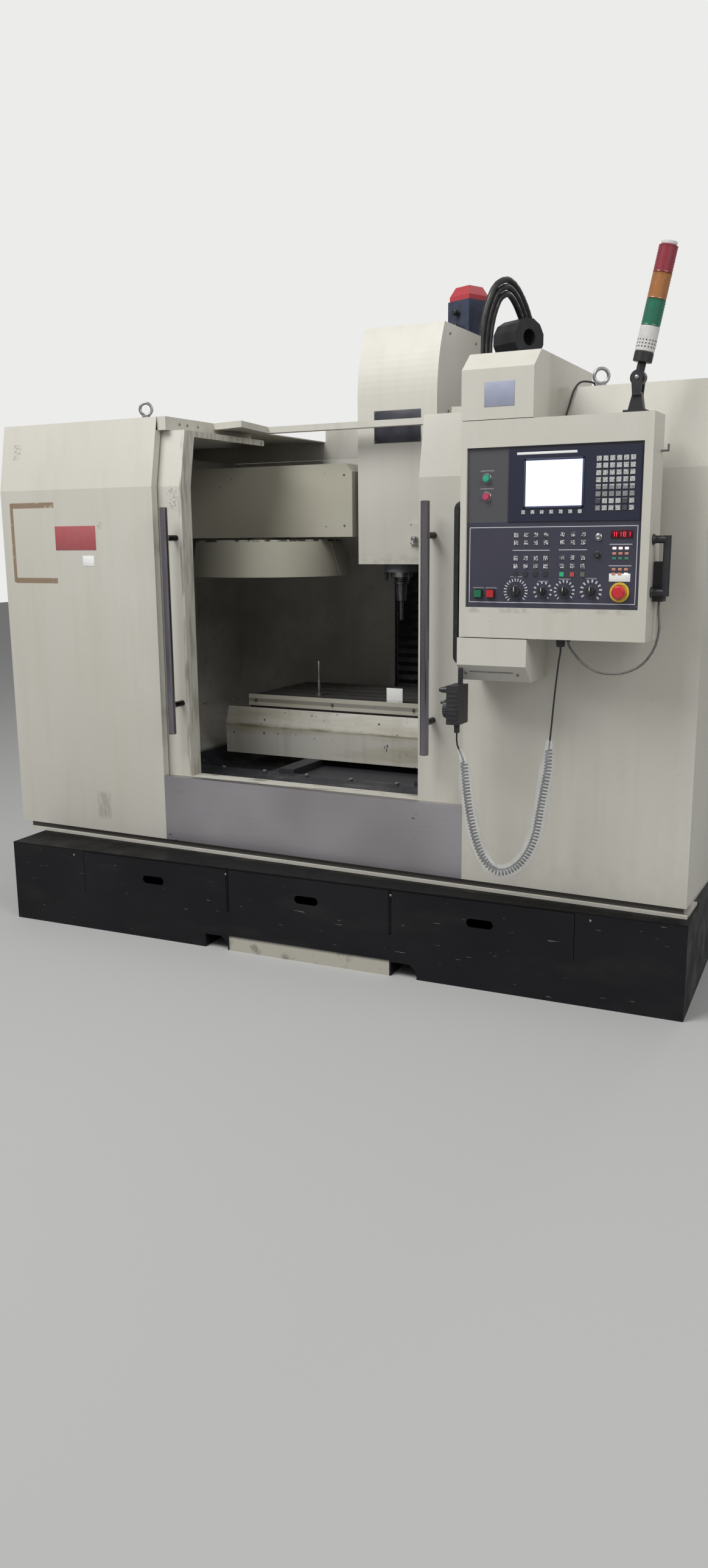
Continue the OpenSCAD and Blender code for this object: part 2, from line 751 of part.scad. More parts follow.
module tube(p, r, n, up) {
    m = len(p);
    points = [for (i = [0 : m - 1]) each ring(p, i, r, n, up)];
    sides = [for (i = [0 : m - 2], k = [0 : n - 1])
        [i * n + k, i * n + (k + 1) % n, (i + 1) * n + (k + 1) % n, (i + 1) * n + k]];
    ends = [[for (k = [n - 1 : -1 : 0]) k], [for (k = [0 : n - 1]) (m - 1) * n + k]];
    polyhedron(points = points, faces = concat(sides, ends));
}

// Points of a cord, worked out to more points on a smooth curve
function spline(p, i, t) =
    let (a = p[max(i - 1, 0)], b = p[i], c = p[i + 1], d = p[min(i + 2, len(p) - 1)])
    0.5 * (2 * b + (c - a) * t + (2 * a - 5 * b + 4 * c - d) * t * t + (3 * b - a - 3 * c + d) * t * t * t);
function smooth(p, steps) = concat(
    [for (i = [0 : len(p) - 2], k = [0 : steps - 1]) spline(p, i, k / steps)], [p[len(p) - 1]]);

pendant_route = [
    [2051, -196, 898.7], [2053, -196, 860], [2076, -198, 808], [2087, -197, 715], [2101, -194, 622],
    [2127, -191, 529], [2158, -188, 477], [2198, -184, 453], [2244, -181, 470], [2283, -178, 514],
    [2310, -175, 578], [2323, -172, 656], [2335, -169, 741], [2344, -166, 803], [2345, -162, 865],
    [2350, -159, 940], [2356, -156, 1034], [2364, -153, 1127], [2368, -150, 1160], [2368, -150, 1177.7]];
curly_r = 13;
straight_r = 5;

// Curly cord: thin ends and one fat tube of the curl's outer size
module pendant_cord() {
    first = 2;
    last = 14;
    curl = [for (i = [first : last]) pendant_route[i]];
    lead = [for (i = [0 : first]) pendant_route[i]];
    tail = [for (i = [last : len(pendant_route) - 1]) pendant_route[i]];
    color(black) placed() {
        tube(smooth(lead, 2), straight_r, 8, [0, 1, 0]);
        tube(smooth(curl, 2), curly_r, 10, [0, 1, 0]);
        tube(smooth(tail, 2), straight_r, 8, [0, 1, 0]);
    }
}

// Three nested hoses that arch from the head to the column's top; each row ends
// with the side on which the outer hose lies: -1 in front, 1 behind
hose_r = 13;
hose_route = [
    [1600, 1240, 2060, -1], [1596, 1240, 2120, -1], [1587, 1240, 2200, -1], [1579, 1240, 2270, -1],
    [1583, 1240, 2353, -0.97], [1595, 1246, 2430, -0.85], [1614, 1265, 2498, -0.6], [1629, 1290, 2525, -0.35],
    [1640, 1330, 2540, 0], [1646, 1375, 2534, 0.35], [1650, 1430, 2512, 0.6], [1652, 1485, 2479, 0.8],
    [1654, 1535, 2438, 0.93], [1656, 1564, 2390, 1], [1660, 1580, 2330, 1], [1662, 1584, 2280, 1],
    [1662, 1584, 2230.3, 1]];

module head_hoses() {
    color(black) placed() for (k = [-1 : 1]) {
        route = [for (p = hose_route)
            [p[0] + k * 8 * p[3], p[1] + k * 27 * p[3], p[2] + k * 28 * sqrt(1 - p[3] * p[3])]];
        tube(smooth(route, 2), hose_r, 8, [0, 1, 0.3]);
    }
}

// Thin cable out of the right panel's slope and over onto the roof
roof_route = [
    [2310, 26.2, 1850], [2310, 18, 1854], [2313, 22, 1873], [2318, 30, 1898], [2326, 38, 1935],
    [2332, 43, 1952], [2340, 56, 1965], [2349, 66, 1970], [2365, 74, 1969], [2380, 78, 1964], [2383, 78, 1954]];

module roof_cable() color(black) placed() tube(smooth(roof_route, 2), 3, 8, [0.3, 1, 0]);

// Sliding doors: skin with a window hole, side flanges and a roof
left_door_x = open_left + left_strip - door_w;
right_door_x = open_right - right_strip;
window_in = (door_w - window_w) / 2;
door_low = apron_top + clear;

module door(x, closing_right) {
    roof_y = front_at(door_top, door_y);
    edge = closing_right ? x + door_w - door_t : x;
    color(cream) placed() {
        difference() {
            side_profile(x, x + door_w, skin(door_low, door_top, door_y, door_t));
            block([x + window_in, door_y - cut, window_sill],
                  [x + door_w - window_in, door_y + door_t + cut, window_sill + window_h]);
        }
        for (fx = [x, x + door_w - door_t])
            side_profile(fx, fx + door_t, skin(door_low, door_top, door_y + door_t / 2, door_flange - door_t / 2));
        block([x + 1, door_y + door_t / 2, door_low], [x + door_w - 1, door_y + door_flange - 1, door_low + 4]);
        block([x, roof_y + door_t / 2, door_top - door_t], [x + door_w, door_y + door_roof_d, door_top]);
        difference() {
            block([edge, roof_y + door_flange - 12, door_top - 22],
                  [edge + door_t, door_y + door_roof_d, door_top - 1]);
            rod_x(edge - cut, door_y + door_roof_d - 22, door_top - 13, 5, door_t + 2 * cut);
        }
    }
}

module left_door() door(left_door_x, true);
module right_door() door(right_door_x, false);

module pane(x) color("#2c3140") placed()
    block([x + window_in - 18, door_y + door_t + clear, window_sill - 18],
          [x + door_w - window_in + 18, door_y + door_t + pane_t, window_sill + window_h + 18]);

module left_window() pane(left_door_x);
module right_window() pane(right_door_x);

standoff_r = 11;
standoff_in = 106;

module handle(x) {
    axis_y = door_y - handle_off;
    color("#a9a7ab") placed() post(x, axis_y, handle_low, handle_low + handle_len, handle_d / 2);
    color(black) placed() for (z = [handle_low + standoff_in, handle_low + handle_len - standoff_in])
        difference() {
            rod_y(x, axis_y, z, standoff_r, handle_off - clear);
            post(x, axis_y, z - standoff_r - cut, z + standoff_r + cut, handle_d / 2);
        }
}

module left_handle() handle(left_door_x + door_w - left_handle_in);
module right_handle() handle(right_door_x + right_handle_in);

// Control box shell with the operator panel set into its front
control_back = -control_out + control_d;
fascia_y = -control_out + recess_d;
fascia_t = 6;
fascia_x0 = control_x + 20;
fascia_x1 = control_x + 553;
fascia_z0 = control_z + 92;
fascia_z1 = control_z + 564;

module control_box() {
    x1 = control_x + control_w;
    hook_z = control_top - 102;
    gland_x = control_x + 313;
    color(cream) placed() difference() {
        block([control_x, -control_out, control_z], [x1, control_back, control_top]);
        block([control_x + control_t, -control_out + recess_d + fascia_t, control_z + control_t],
              [x1 - control_t, control_back - control_t, control_top - control_t]);
        block([fascia_x0, -control_out - cut, fascia_z0], [fascia_x1, fascia_y + fascia_t + cut, fascia_z1]);
        post(pivot_x, pivot_y, control_top - 2 * control_t, control_top + cut, pivot_r);
        post(pivot_x, pivot_y, control_z - cut, control_z + 2 * control_t, pivot_r);
    }
    color(steel) placed() {
        post(gland_x, -150, control_z - 25, control_z, 12);
        rod_x(x1, -107, hook_z, 3, 22);
        post(x1 + 22, -107, hook_z - 3, hook_z + 18, 3);
    }
}

// Places on the operator panel, from the control box's left lower corner
power_on_at = [82, 475];
power_off_at = [82, 422];
cycle_start_at = [60.5, 134];
cycle_hold_at = [100.5, 134];
knob_at = [[180, 142], [265, 143], [331, 144.5], [412, 145.5]];
knob_r = [17, 12, 13.5, 13.5];
estop_at = [497, 142];
stem_r = 8;
shaft_r = 5;
estop_stem_r = 11;

module fascia_bore(at, r) rod_y(control_x + at[0], fascia_y - 4, control_z + at[1], r, fascia_t + 8);

module control_fascia() {
    unit_x0 = control_x + 152;
    unit_z0 = control_z + 347;
    color(panel_blue) placed() difference() {
        union() {
            block([fascia_x0 + clear, fascia_y, fascia_z0 + clear],
                  [fascia_x1 - clear, fascia_y + fascia_t, fascia_z1 - clear]);
            block([unit_x0, fascia_y - 3, unit_z0], [fascia_x1 - 6, fascia_y, unit_z0 + 205]);
            for (i = [0 : 3])
                rod_y(control_x + knob_at[i][0], fascia_y - 2, control_z + knob_at[i][1], knob_r[i] + 9, 2);
            rod_y(control_x + estop_at[0], fascia_y - 3, control_z + estop_at[1], 29, 3);
        }
        for (at = [power_on_at, power_off_at, cycle_start_at, cycle_hold_at]) fascia_bore(at, stem_r + run_gap);
        for (at = knob_at) fascia_bore(at, shaft_r + run_gap);
        fascia_bore(estop_at, estop_stem_r + run_gap);
    }
}

module screen() color("#eef4ff") placed()
    block([control_x + 206, fascia_y - 5, control_z + 391],
          [control_x + 376, fascia_y - 3 - clear, control_z + 521]);

// All the flat keys of the operator panel, one small block each
module key(x, z, w, h, y) block([control_x + x - w / 2, y - 2, control_z + z - h / 2],
                                [control_x + x + w / 2, y - clear, control_z + z + h / 2]);

module key_grid(x0, x1, z0, z1, columns, rows, size, y)
    for (i = [0 : columns - 1], j = [0 : rows - 1])
        key(x0 + (columns > 1 ? (x1 - x0) * i / (columns - 1) : 0),
            z0 + (rows > 1 ? (z1 - z0) * j / (rows - 1) : 0), size, size, y);

module keys() {
    unit_y = fascia_y - 3;
    color("#d5d5d2") placed() {
        key_grid(200, 372, 374, 374, 7, 1, 11, unit_y);
        key_grid(424, 522, 520, 382, 6, 8, 14, unit_y);
        key_grid(179, 272, 308, 285.5, 4, 2, 13, fascia_y);
        key_grid(179, 272, 240, 193, 4, 3, 13, fascia_y);
        key_grid(322, 385, 309, 285.5, 3, 2, 13, fascia_y);
        key_grid(322, 385, 241, 193, 3, 3, 13, fascia_y);
    }
}

// Turning knob with a flat grip and a stem through the panel
module knob(i) {
    at = knob_at[i];
    r = knob_r[i];
    face = fascia_y - 2.3;
    color("#17171a") placed() translate([control_x + at[0], face, control_z + at[1]]) {
        rotate([90, 0, 0]) cylinder(r1 = r, r2 = r * 0.82, h = 12);
        translate([-r * 0.2, -17, -r * 0.8]) cube([r * 0.4, 6, r * 1.6]);
        rotate([-90, 0, 0]) cylinder(r = shaft_r, h = fascia_t + 6);
    }
}

module knob_spindle() knob(0);
module knob_feed() knob(1);
module knob_rapid() knob(2);
module knob_mode() knob(3);

press = 4;

module round_button(at, shade) color(shade) placed()
    translate([control_x + at[0], fascia_y - press - clear, control_z + at[1]]) {
        rotate([90, 0, 0]) cylinder(r1 = 11, r2 = 9.5, h = 7);
        rotate([-90, 0, 0]) cylinder(r = stem_r, h = press + fascia_t + 4);
    }

module square_button(at, shade) color(shade) placed()
    translate([control_x + at[0], fascia_y - press - clear, control_z + at[1]]) {
        translate([-11, -7, -11]) cube([22, 7, 22]);
        rotate([-90, 0, 0]) cylinder(r = stem_r, h = press + fascia_t + 4);
    }

module power_on() round_button(power_on_at, "#2f9c78");
module power_off() round_button(power_off_at, "#b53a52");
module cycle_start() square_button(cycle_start_at, "#1f7a4c");
module cycle_hold() square_button(cycle_hold_at, "#a83232");

module estop_button() color("#c8202a") placed()
    translate([control_x + estop_at[0], fascia_y - 3 - press - clear, control_z + estop_at[1]]) {
        rotate([90, 0, 0]) cylinder(r1 = 17, r2 = 20, h = 9);
        translate([0, -9, 0]) rotate([90, 0, 0]) cylinder(r1 = 20, r2 = 14, h = 8);
        rotate([-90, 0, 0]) cylinder(r = estop_stem_r, h = press + 3 + fascia_t + 4);
    }

// Black grip on the control box's right side, with a small socket box behind it
module side_handle() {
    x1 = control_x + control_w + clear;
    reach = 41;
    grip_r = 11;
    low = 1345;
    high = 1495;
    y = -152;
    color(black) placed() {
        for (z = [low, high]) rod_x(x1, y, z, grip_r, reach);
        post(x1 + reach, y, low - grip_r, high + grip_r, grip_r);
        block([x1, -132, 1317], [x1 + 30, -84, 1432]);
    }
}

cable_route = [
    [2648, -108, 1316], [2649, -109, 1280], [2656, -122, 1240], [2650, -134, 1190], [2630, -142, 1150],
    [2600, -147, 1122], [2560, -150, 1106], [2520, -151, 1102], [2480, -151, 1108], [2440, -150, 1130],
    [2410, -150, 1160], [2393, -150, 1184], [2392, -150, 1202.5]];

module side_cable() color("#6f6f6c") placed() tube(smooth(cable_route, 2), 3.5, 8, [0, 1, 0]);

// Signal tower with a knuckle
tower_x = 2566;
ball_z = control_top + 98;
ball_r = 22;

module tower_bracket() {
    color(black) placed() difference() {
        union() {
            block([tower_x - 34, pivot_y - 30, control_top + clear], [tower_x + 30, pivot_y + 30, control_top + 10]);
            hull() {
                block([tower_x - 24, pivot_y - 14, control_top + 10], [tower_x + 20, pivot_y + 14, control_top + 12]);
                block([tower_x - 12, pivot_y - 14, control_top + 56], [tower_x + 12, pivot_y + 14, control_top + 58]);
            }
            for (side = [-1, 1])
                hull() {
                    rod_y(tower_x, pivot_y + side * 17 - 3, ball_z, 16, 6);
                    block([tower_x - 12, pivot_y + side * 17 - 3, control_top + 50],
                          [tower_x + 12, pivot_y + side * 17 + 3, control_top + 52]);
                }
        }
        rod_y(tower_x, pivot_y - 40, ball_z, 6, 80);
    }
}

tier_h = [28, 68, 70, 68, 72, 11];
neck_h = 42;

module tower_light() {
    colours = [black, "#dcdcd6", "#1f8a55", "#c9812a", "#b0343a", "#d9c9b4"];
    r = tower_d / 2;
    shrink = [0, 0, 0, 0, 0, 5];
    placed() translate([tower_x, pivot_y, ball_z]) rotate([0, tower_lean, 0]) {
        color(black) rotate([90, 0, 0]) cylinder(r = ball_r, h = 27, center = true);
        color(steel) rotate([90, 0, 0]) cylinder(r = 6 - run_gap, h = 46, center = true);
        color(black) translate([0, 0, 10]) cylinder(r = 12, h = neck_h - 10);
        for (i = [0 : 5])
            color(colours[i])
                translate([0, 0, neck_h + (i > 0 ? [for (s = 0, k = 0; k <= i; s = s + tier_h[k], k = k + 1) s][i] : 0)])
                    cylinder(r = r - shrink[i], h = tier_h[i]);
    }
}

// Spindle head casting with its motor, riding on the column
head_x = spindle_x + 20;
head_x0 = head_x - head_w / 2;
head_x1 = head_x + head_w / 2;
head_y = 700;
head_back = 1155;
head_t = 4;
head_block_y = 905;
nose_low = 1372;
nose_r = 82;
nose_small_r = 68;
quill_top = 1760;

module head() {
    block_x0 = head_x0 + head_t + clear;
    block_x1 = head_x1 - head_t - clear;
    block_high = 2050;
    color(cast_grey) placed() {
        difference() {
            union() {
                block([block_x0, head_block_y, head_block_low], [block_x1, guide_y - clear, block_high]);
                block([spindle_x - 70, spindle_y, head_block_low], [spindle_x + 70, head_block_y + 1, quill_top]);
                post(spindle_x, spindle_y, 1420, quill_top, nose_r);
                post(spindle_x, spindle_y, nose_low, 1420, nose_small_r);
                block([spindle_x - 50, guide_y - clear, nut_low], [spindle_x + 50, screw_y + 45, nut_high]);
            }
            post(spindle_x, spindle_y, nose_low - cut, quill_top + cut, nose_d / 2 + run_gap);
            post(spindle_x, screw_y, nut_low - cut, nut_high + cut, screw_r + run_gap);
        }
        block([spindle_x - 85, spindle_y - 38, quill_top], [spindle_x + 105, spindle_y + 152, 2200]);
        block([block_x1 - 10, 1195, 2020], [head_x1 + 60, 1285, 2059]);
    }
}

// Curved sheet-metal hood around the head, open below and behind
curve_in = 72;
curve_z = 2040;

function hood(d) =
    let (h = head_top - curve_z, r = (h * h + curve_in * curve_in) / (2 * curve_in), sweep = asin(h / r))
    [for (i = [0 : 12]) [head_y + r - (r - d) * cos(sweep * i / 12), curve_z + (r - d) * sin(sweep * i / 12)]];

module head_cover() {
    top_in = hood(head_t);
    last_in = top_in[12];
    color(cream) placed() {
        difference() {
            side_profile(head_x0, head_x1, concat([[head_y, head_low]], hood(0), [[head_back, head_top], [head_back, head_low]]));
            side_profile(head_x0 + head_t, head_x1 - head_t, concat(
                [[head_y + head_t, head_low - cut]], top_in,
                [[last_in[0], head_top - head_t], [head_back + cut, head_top - head_t], [head_back + cut, head_low - cut]]));
        }
        block([head_x1 - 108, head_y - 12, 1483], [head_x1 - 62, head_y, 1564]);
        rod_y(head_x1 - 85, head_y - 26, 1504, 13, 14);
    }
}

// Rotating spindle with its nose ring, and the tool in it
taper_r = 22.2;
taper_len = 66;
tool_gap = 0.05;

module spindle() {
    color(steel) placed() difference() {
        post(spindle_x, spindle_y, nose_z, quill_top - 5, nose_d / 2);
        translate([spindle_x, spindle_y, nose_z]) cylinder(r1 = taper_r, r2 = taper_r - taper_len * 7 / 48, h = taper_len);
        post(spindle_x, spindle_y, nose_z + taper_len - cut, nose_z + 110, 9);
        post(spindle_x, spindle_y, nose_z - cut, nose_z + cut / 100, taper_r);
    }
}

module tool() {
    flange_r = 31.5;
    tip_z = nose_z - 174;
    color("#55585c") placed() difference() {
        rotate_extrude_at(spindle_x, spindle_y, [
            [0, tip_z], [9, tip_z], [9, nose_z - 98], [20, nose_z - 96], [24, nose_z - 60],
            [24, nose_z - 30], [flange_r, nose_z - 28], [flange_r, nose_z - 20], [flange_r - 4, nose_z - 16],
            [flange_r - 4, nose_z - 12], [flange_r, nose_z - 8], [flange_r, nose_z - 3],
            [taper_r - tool_gap, nose_z - 3], [taper_r - tool_gap, nose_z],
            [taper_r - tool_gap - (taper_len - 2) * 7 / 48, nose_z + taper_len - 2], [0, nose_z + taper_len - 2]]);
        for (k = [0 : 2])
            translate([spindle_x, spindle_y, tip_z - cut]) rotate([0, 0, 120 * k])
                translate([7, -1, 0]) cube([3, 4, 40]);
    }
}

module rotate_extrude_at(x, y, points) translate([x, y, 0]) rotate_extrude() polygon(points);

// Cross saddle and its covers
saddle_low = way_top + clear;
saddle_rail_top = table_top - table_t - clear;
saddle_y0 = 600;
saddle_y1 = 1095;
beam_half = 720;
table_x = spindle_x - 627;
table_y0 = 596;
table_y1 = table_y0 + table_d;

module saddle() {
    block_half = 350;
    waist = saddle_low + 85;
    color(cast_grey) placed() {
        block([spindle_x - block_half, saddle_y0, saddle_low], [spindle_x + block_half, saddle_y1, waist]);
        block([spindle_x - beam_half, saddle_y0 + 20, waist], [spindle_x + beam_half, saddle_y1 - 20, saddle_rail_top - 15]);
        for (y = [700, 1000])
            block([spindle_x - beam_half, y - 30, saddle_rail_top - 15], [spindle_x + beam_half, y + 30, saddle_rail_top]);
    }
}

module saddle_cover() {
    t = 4;
    x0 = spindle_x - cover_w / 2;
    x1 = spindle_x + cover_w / 2;
    low = way_top + clear;
    knee = 729;
    high = 803;
    outer = [[563, low], [559, knee], [587, high]];
    shell = concat(outer, [[587 + t, high], [559 + t, knee], [563 + t, low]]);
    color(cream) placed() {
        side_profile(x0, x1, shell);
        for (x = [x0, x1 - t])
            side_profile(x, x + t, concat([[563, low], [559, knee], [587, high]], [[594, high], [594, 764], [612, 760], [612, low]]));
        for (x = [x0 + 180, spindle_x - 20, x1 - 220])
            block([x, 559 + t, 700], [x + 40, saddle_y0 + 20 - clear, 728]);
    }
}

module table() {
    color(cast_grey) placed() difference() {
        block([table_x, table_y0, table_top - table_t], [table_x + table_w, table_y1, table_top]);
        for (k = [-2 : 2]) {
            y = (table_y0 + table_y1) / 2 + k * slot_pitch;
            block([table_x - cut, y - slot_neck / 2, table_top - 20], [table_x + table_w + cut, y + slot_neck / 2, table_top + cut]);
            block([table_x - cut, y - 15, table_top - 34], [table_x + table_w + cut, y + 15, table_top - 20]);
        }
    }
}

module table_guard() {
    t = 12;
    color(cream) placed() {
        block([table_x, table_y0 - t, 813], [table_x + table_w, table_y0 - clear, table_top + 5]);
        for (k = [0 : 3]) rod_y(table_x + 38 + 369 * k, table_y0 - t - 5, 836, 6, 5);
    }
}

// Sliding carriage with a conical shroud, and the carousel inside it
carriage_high = beam_low - clear;
shroud_top = shroud_z + shroud_h;
shroud_in = 18;
shroud_t = 4;
hub_r = 30;

module magazine_carriage() {
    r1 = shroud_r;
    r2 = shroud_r - shroud_in;
    color(cream) placed() difference() {
        union() {
            translate([mag_x, spindle_y, shroud_z]) cylinder(r1 = r1, r2 = r2, h = shroud_h, $fn = 96);
            post(mag_x, spindle_y, shroud_top - 1, 1560, 90);
            block([mag_x - 110, spindle_y - 70, 1550], [mag_x + 110, beam_y1 + 20, carriage_high]);
            translate([mag_x + r1 + 1.5, spindle_y, shroud_z]) rotate([0, -atan(shroud_in / shroud_h), 0])
                side_profile(-shroud_t, 0, [[23, 0], [127, 0], [127, 88], [118, 94], [58, 147], [-27, 147]]);
        }
        translate([mag_x, spindle_y, shroud_z - 3 * cut])
            cylinder(r1 = r1 - shroud_t, r2 = r2 - shroud_t, h = shroud_h - shroud_t + cut, $fn = 96);
        post(mag_x, spindle_y, shroud_top - 10, 1620, hub_r + run_gap);
    }
}

plate_r = 262;
plate_z = shroud_z + 70;
jaw_h = 20;

module carousel() {
    color(cast_grey) placed() translate([mag_x, spindle_y, 0]) {
        post(0, 0, plate_z, 1600, hub_r);
        difference() {
            post(0, 0, plate_z, plate_z + 20, plate_r);
            for (i = [0 : 4])
                rotate([0, 0, i * 72]) translate([150, 0, plate_z - cut]) cylinder(r = 30, h = 22);
        }
    }
}

// Gripper jaws bolted under the carousel's plate, each with a pocket open to the outside
module grippers() {
    pocket_at = plate_r + 23;
    low = plate_z - clear - jaw_h;
    color(steel) placed() translate([mag_x, spindle_y, 0])
        for (i = [0 : gripper_count - 1])
            rotate([0, 0, i * 360 / gripper_count]) difference() {
                translate([plate_r - 20, -26, low]) cube([pocket_at - plate_r + 36, 52, jaw_h]);
                translate([pocket_at, 0, low - cut]) cylinder(r = 17, h = jaw_h + 2 * cut, $fn = 24);
                translate([pocket_at, -12, low - cut]) cube([40, 24, jaw_h + 2 * cut]);
            }
}

coolant_tank();
bed();
levelling_feet();
column();
column_bellows();
z_screw();
z_motor();
left_panel();
right_panel();
apron();
enclosure_frame();
inner_walls();
eye_bolts();
arm_duct();
lower_bracket();
magazine_cover();
hose_drum();
cabinet();
cabinet_door();
pendant_body();
pendant_wheel();
pendant_cord();
head_hoses();
roof_cable();
drawer_left();
drawer_middle();
drawer_right();
left_door();
left_window();
left_handle();
right_door();
right_window();
right_handle();
control_box();
control_fascia();
screen();
keys();
knob_spindle();
knob_feed();
knob_rapid();
knob_mode();
estop_button();
power_on();
power_off();
cycle_start();
cycle_hold();
side_handle();
side_cable();
tower_bracket();
tower_light();
head();
head_cover();
spindle();
tool();
saddle();
saddle_cover();
table();
table_guard();
magazine_carriage();
carousel();
grippers();
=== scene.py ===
import math

import bpy
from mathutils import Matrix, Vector


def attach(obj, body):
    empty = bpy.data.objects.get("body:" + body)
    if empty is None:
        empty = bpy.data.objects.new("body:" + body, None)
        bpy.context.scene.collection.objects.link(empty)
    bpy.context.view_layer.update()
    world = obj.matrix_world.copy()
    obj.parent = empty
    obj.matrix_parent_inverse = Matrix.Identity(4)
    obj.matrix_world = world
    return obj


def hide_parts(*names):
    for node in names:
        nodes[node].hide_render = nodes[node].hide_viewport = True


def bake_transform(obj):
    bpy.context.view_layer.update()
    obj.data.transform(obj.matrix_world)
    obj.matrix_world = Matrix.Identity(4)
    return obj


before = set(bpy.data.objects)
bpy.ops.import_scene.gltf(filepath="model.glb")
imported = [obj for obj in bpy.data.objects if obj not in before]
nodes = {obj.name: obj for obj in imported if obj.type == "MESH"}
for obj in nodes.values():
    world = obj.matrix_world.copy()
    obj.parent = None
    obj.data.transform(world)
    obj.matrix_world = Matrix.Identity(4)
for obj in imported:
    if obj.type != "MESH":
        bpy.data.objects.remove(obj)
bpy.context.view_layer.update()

# Camera: stands to the right in front of the machine at eye height and looks a little down.
# The lens is that of the photograph, held upright.
frame_origin = (1388.184, 1042, 0)


def here(x, y, z):
    """Metres in the frame, from millimetres off the enclosure's left front corner on the floor."""
    return Vector([(at - zero) / 1000 for at, zero in zip((x, y, z), frame_origin)])


bpy.ops.object.camera_add(location=here(3391, -3504, 1497))
camera = bpy.context.active_object
camera.rotation_euler = [math.radians(angle) for angle in (77.8896, 0.4693, 27.2293)]
camera.data.lens = 25.98
camera.data.sensor_width = 36
camera.data.clip_end = 60
bpy.context.scene.camera = camera

# Pendant cord: rubber lead, curly in its lower part, from the hand pendant down in a bow
# and up to the gland under the control box. The curl still wears its clear shipping sleeve.


def sockets(made):
    """The shader's inputs of a finish."""
    return made.node_tree.nodes["Principled BSDF"].inputs


def finish(name, colour, rough, metal=0.0):
    """A new finish with its plain colour, roughness and metal share."""
    made = bpy.data.materials.new(name)
    made.use_nodes = True
    sockets(made)["Base Color"].default_value = (*colour, 1)
    sockets(made)["Roughness"].default_value = rough
    sockets(made)["Metallic"].default_value = metal
    return made


def place(made, stretch=(1, 1, 1), turn=(0, 0, 0)):
    """Object coordinates, stretched or turned."""
    tree = made.node_tree
    coords = tree.nodes.new("ShaderNodeTexCoord")
    mapping = tree.nodes.new("ShaderNodeMapping")
    mapping.inputs["Scale"].default_value = stretch
    mapping.inputs["Rotation"].default_value = turn
    tree.links.new(coords.outputs["Object"], mapping.inputs["Vector"])
    return mapping.outputs["Vector"]


def ramp(made, value, low, high):
    """0 under low, 1 over high, and straight between; low above high turns it round."""
    tree = made.node_tree
    step = tree.nodes.new("ShaderNodeMapRange")
    step.inputs["From Min"].default_value = low
    step.inputs["From Max"].default_value = high
    tree.links.new(value, step.inputs["Value"])
    return step.outputs["Result"]


def clouds(made, size, low=0.4, high=0.6, stretch=(1, 1, 1), detail=3.0, turn=(0, 0, 0)):
    """Blotches of about the given size in metres."""
    tree = made.node_tree
    noise = tree.nodes.new("ShaderNodeTexNoise")
    noise.inputs["Scale"].default_value = 1 / size
    noise.inputs["Detail"].default_value = detail
    tree.links.new(place(made, stretch, turn), noise.inputs["Vector"])
    return ramp(made, noise.outputs["Fac"], low, high)


def joined(made, how, first, second):
    """Two values or a value and a number, multiplied, added or compared."""
    tree = made.node_tree
    maths = tree.nodes.new("ShaderNodeMath")
    maths.operation = how
    tree.links.new(first, maths.inputs[0])
    if isinstance(second, (int, float)):
        maths.inputs[1].default_value = second
    else:
        tree.links.new(second, maths.inputs[1])
    return maths.outputs["Value"]


def along(made, axis, turn=(0, 0, 0)):
    """The place along X, Y or Z, in metres."""
    tree = made.node_tree
    parts = tree.nodes.new("ShaderNodeSeparateXYZ")
    tree.links.new(place(made, turn=turn), parts.inputs["Vector"])
    return parts.outputs[axis]


def times(made, first, *more):
    """Several values or numbers, multiplied."""
    for part in more:
        first = joined(made, "MULTIPLY", first, part)
    return first


def between(made, axis, low, high, soft=0.0005, turn=(0, 0, 0)):
    """1 between two places along an axis, with soft ends."""
    value = along(made, axis, turn)
    return times(made, ramp(made, value, low - soft, low + soft), ramp(made, value, high + soft, high - soft))


def over(made, mask, colour):
    """Lays a colour over the finish where the mask is 1."""
    tree = made.node_tree
    base = sockets(made)["Base Color"]
    mix = tree.nodes.new("ShaderNodeMix")
    mix.data_type = "RGBA"
    tree.links.new(mask, mix.inputs[0])
    if base.is_linked:
        tree.links.new(base.links[0].from_socket, mix.inputs[6])
    else:
        mix.inputs[6].default_value = base.default_value
    mix.inputs[7].default_value = (*colour, 1)
    tree.links.new(mix.outputs[2], base)


def stained(made, colour, size, low=0.4, high=0.6, share=None, **kind):
    """Lays a colour over the finish in blotches of a size in metres, at a share of its strength."""
    mask = clouds(made, size, low, high, **kind)
    over(made, mask if share is None else times(made, mask, share), colour)


def rougher(made, mask, low, high):
    """Roughness that goes from low to high with the mask."""
    tree = made.node_tree
    step = tree.nodes.new("ShaderNodeMapRange")
    step.inputs["To Min"].default_value = low
    step.inputs["To Max"].default_value = high
    tree.links.new(mask, step.inputs["Value"])
    tree.links.new(step.outputs["Result"], sockets(made)["Roughness"])


def grained(made, height, strength, depth):
    """Raises the surface by the given value."""
    tree = made.node_tree
    bump = tree.nodes.new("ShaderNodeBump")
    bump.inputs["Strength"].default_value = strength
    bump.inputs["Distance"].default_value = depth
    tree.links.new(height, bump.inputs["Height"])
    tree.links.new(bump.outputs["Normal"], sockets(made)["Normal"])


def wear(obj, made):
    """Puts a finish on the whole of an object."""
    obj.data.materials.clear()
    obj.data.materials.append(made)


cord_rubber = finish("cord_rubber", (0.010, 0.010, 0.012), 0.45)
stained(cord_rubber, (0.03, 0.03, 0.034), 0.006, 0.45, 0.7)
grained(cord_rubber, clouds(cord_rubber, 0.0012, 0.3, 0.7), 0.2, 0.0004)

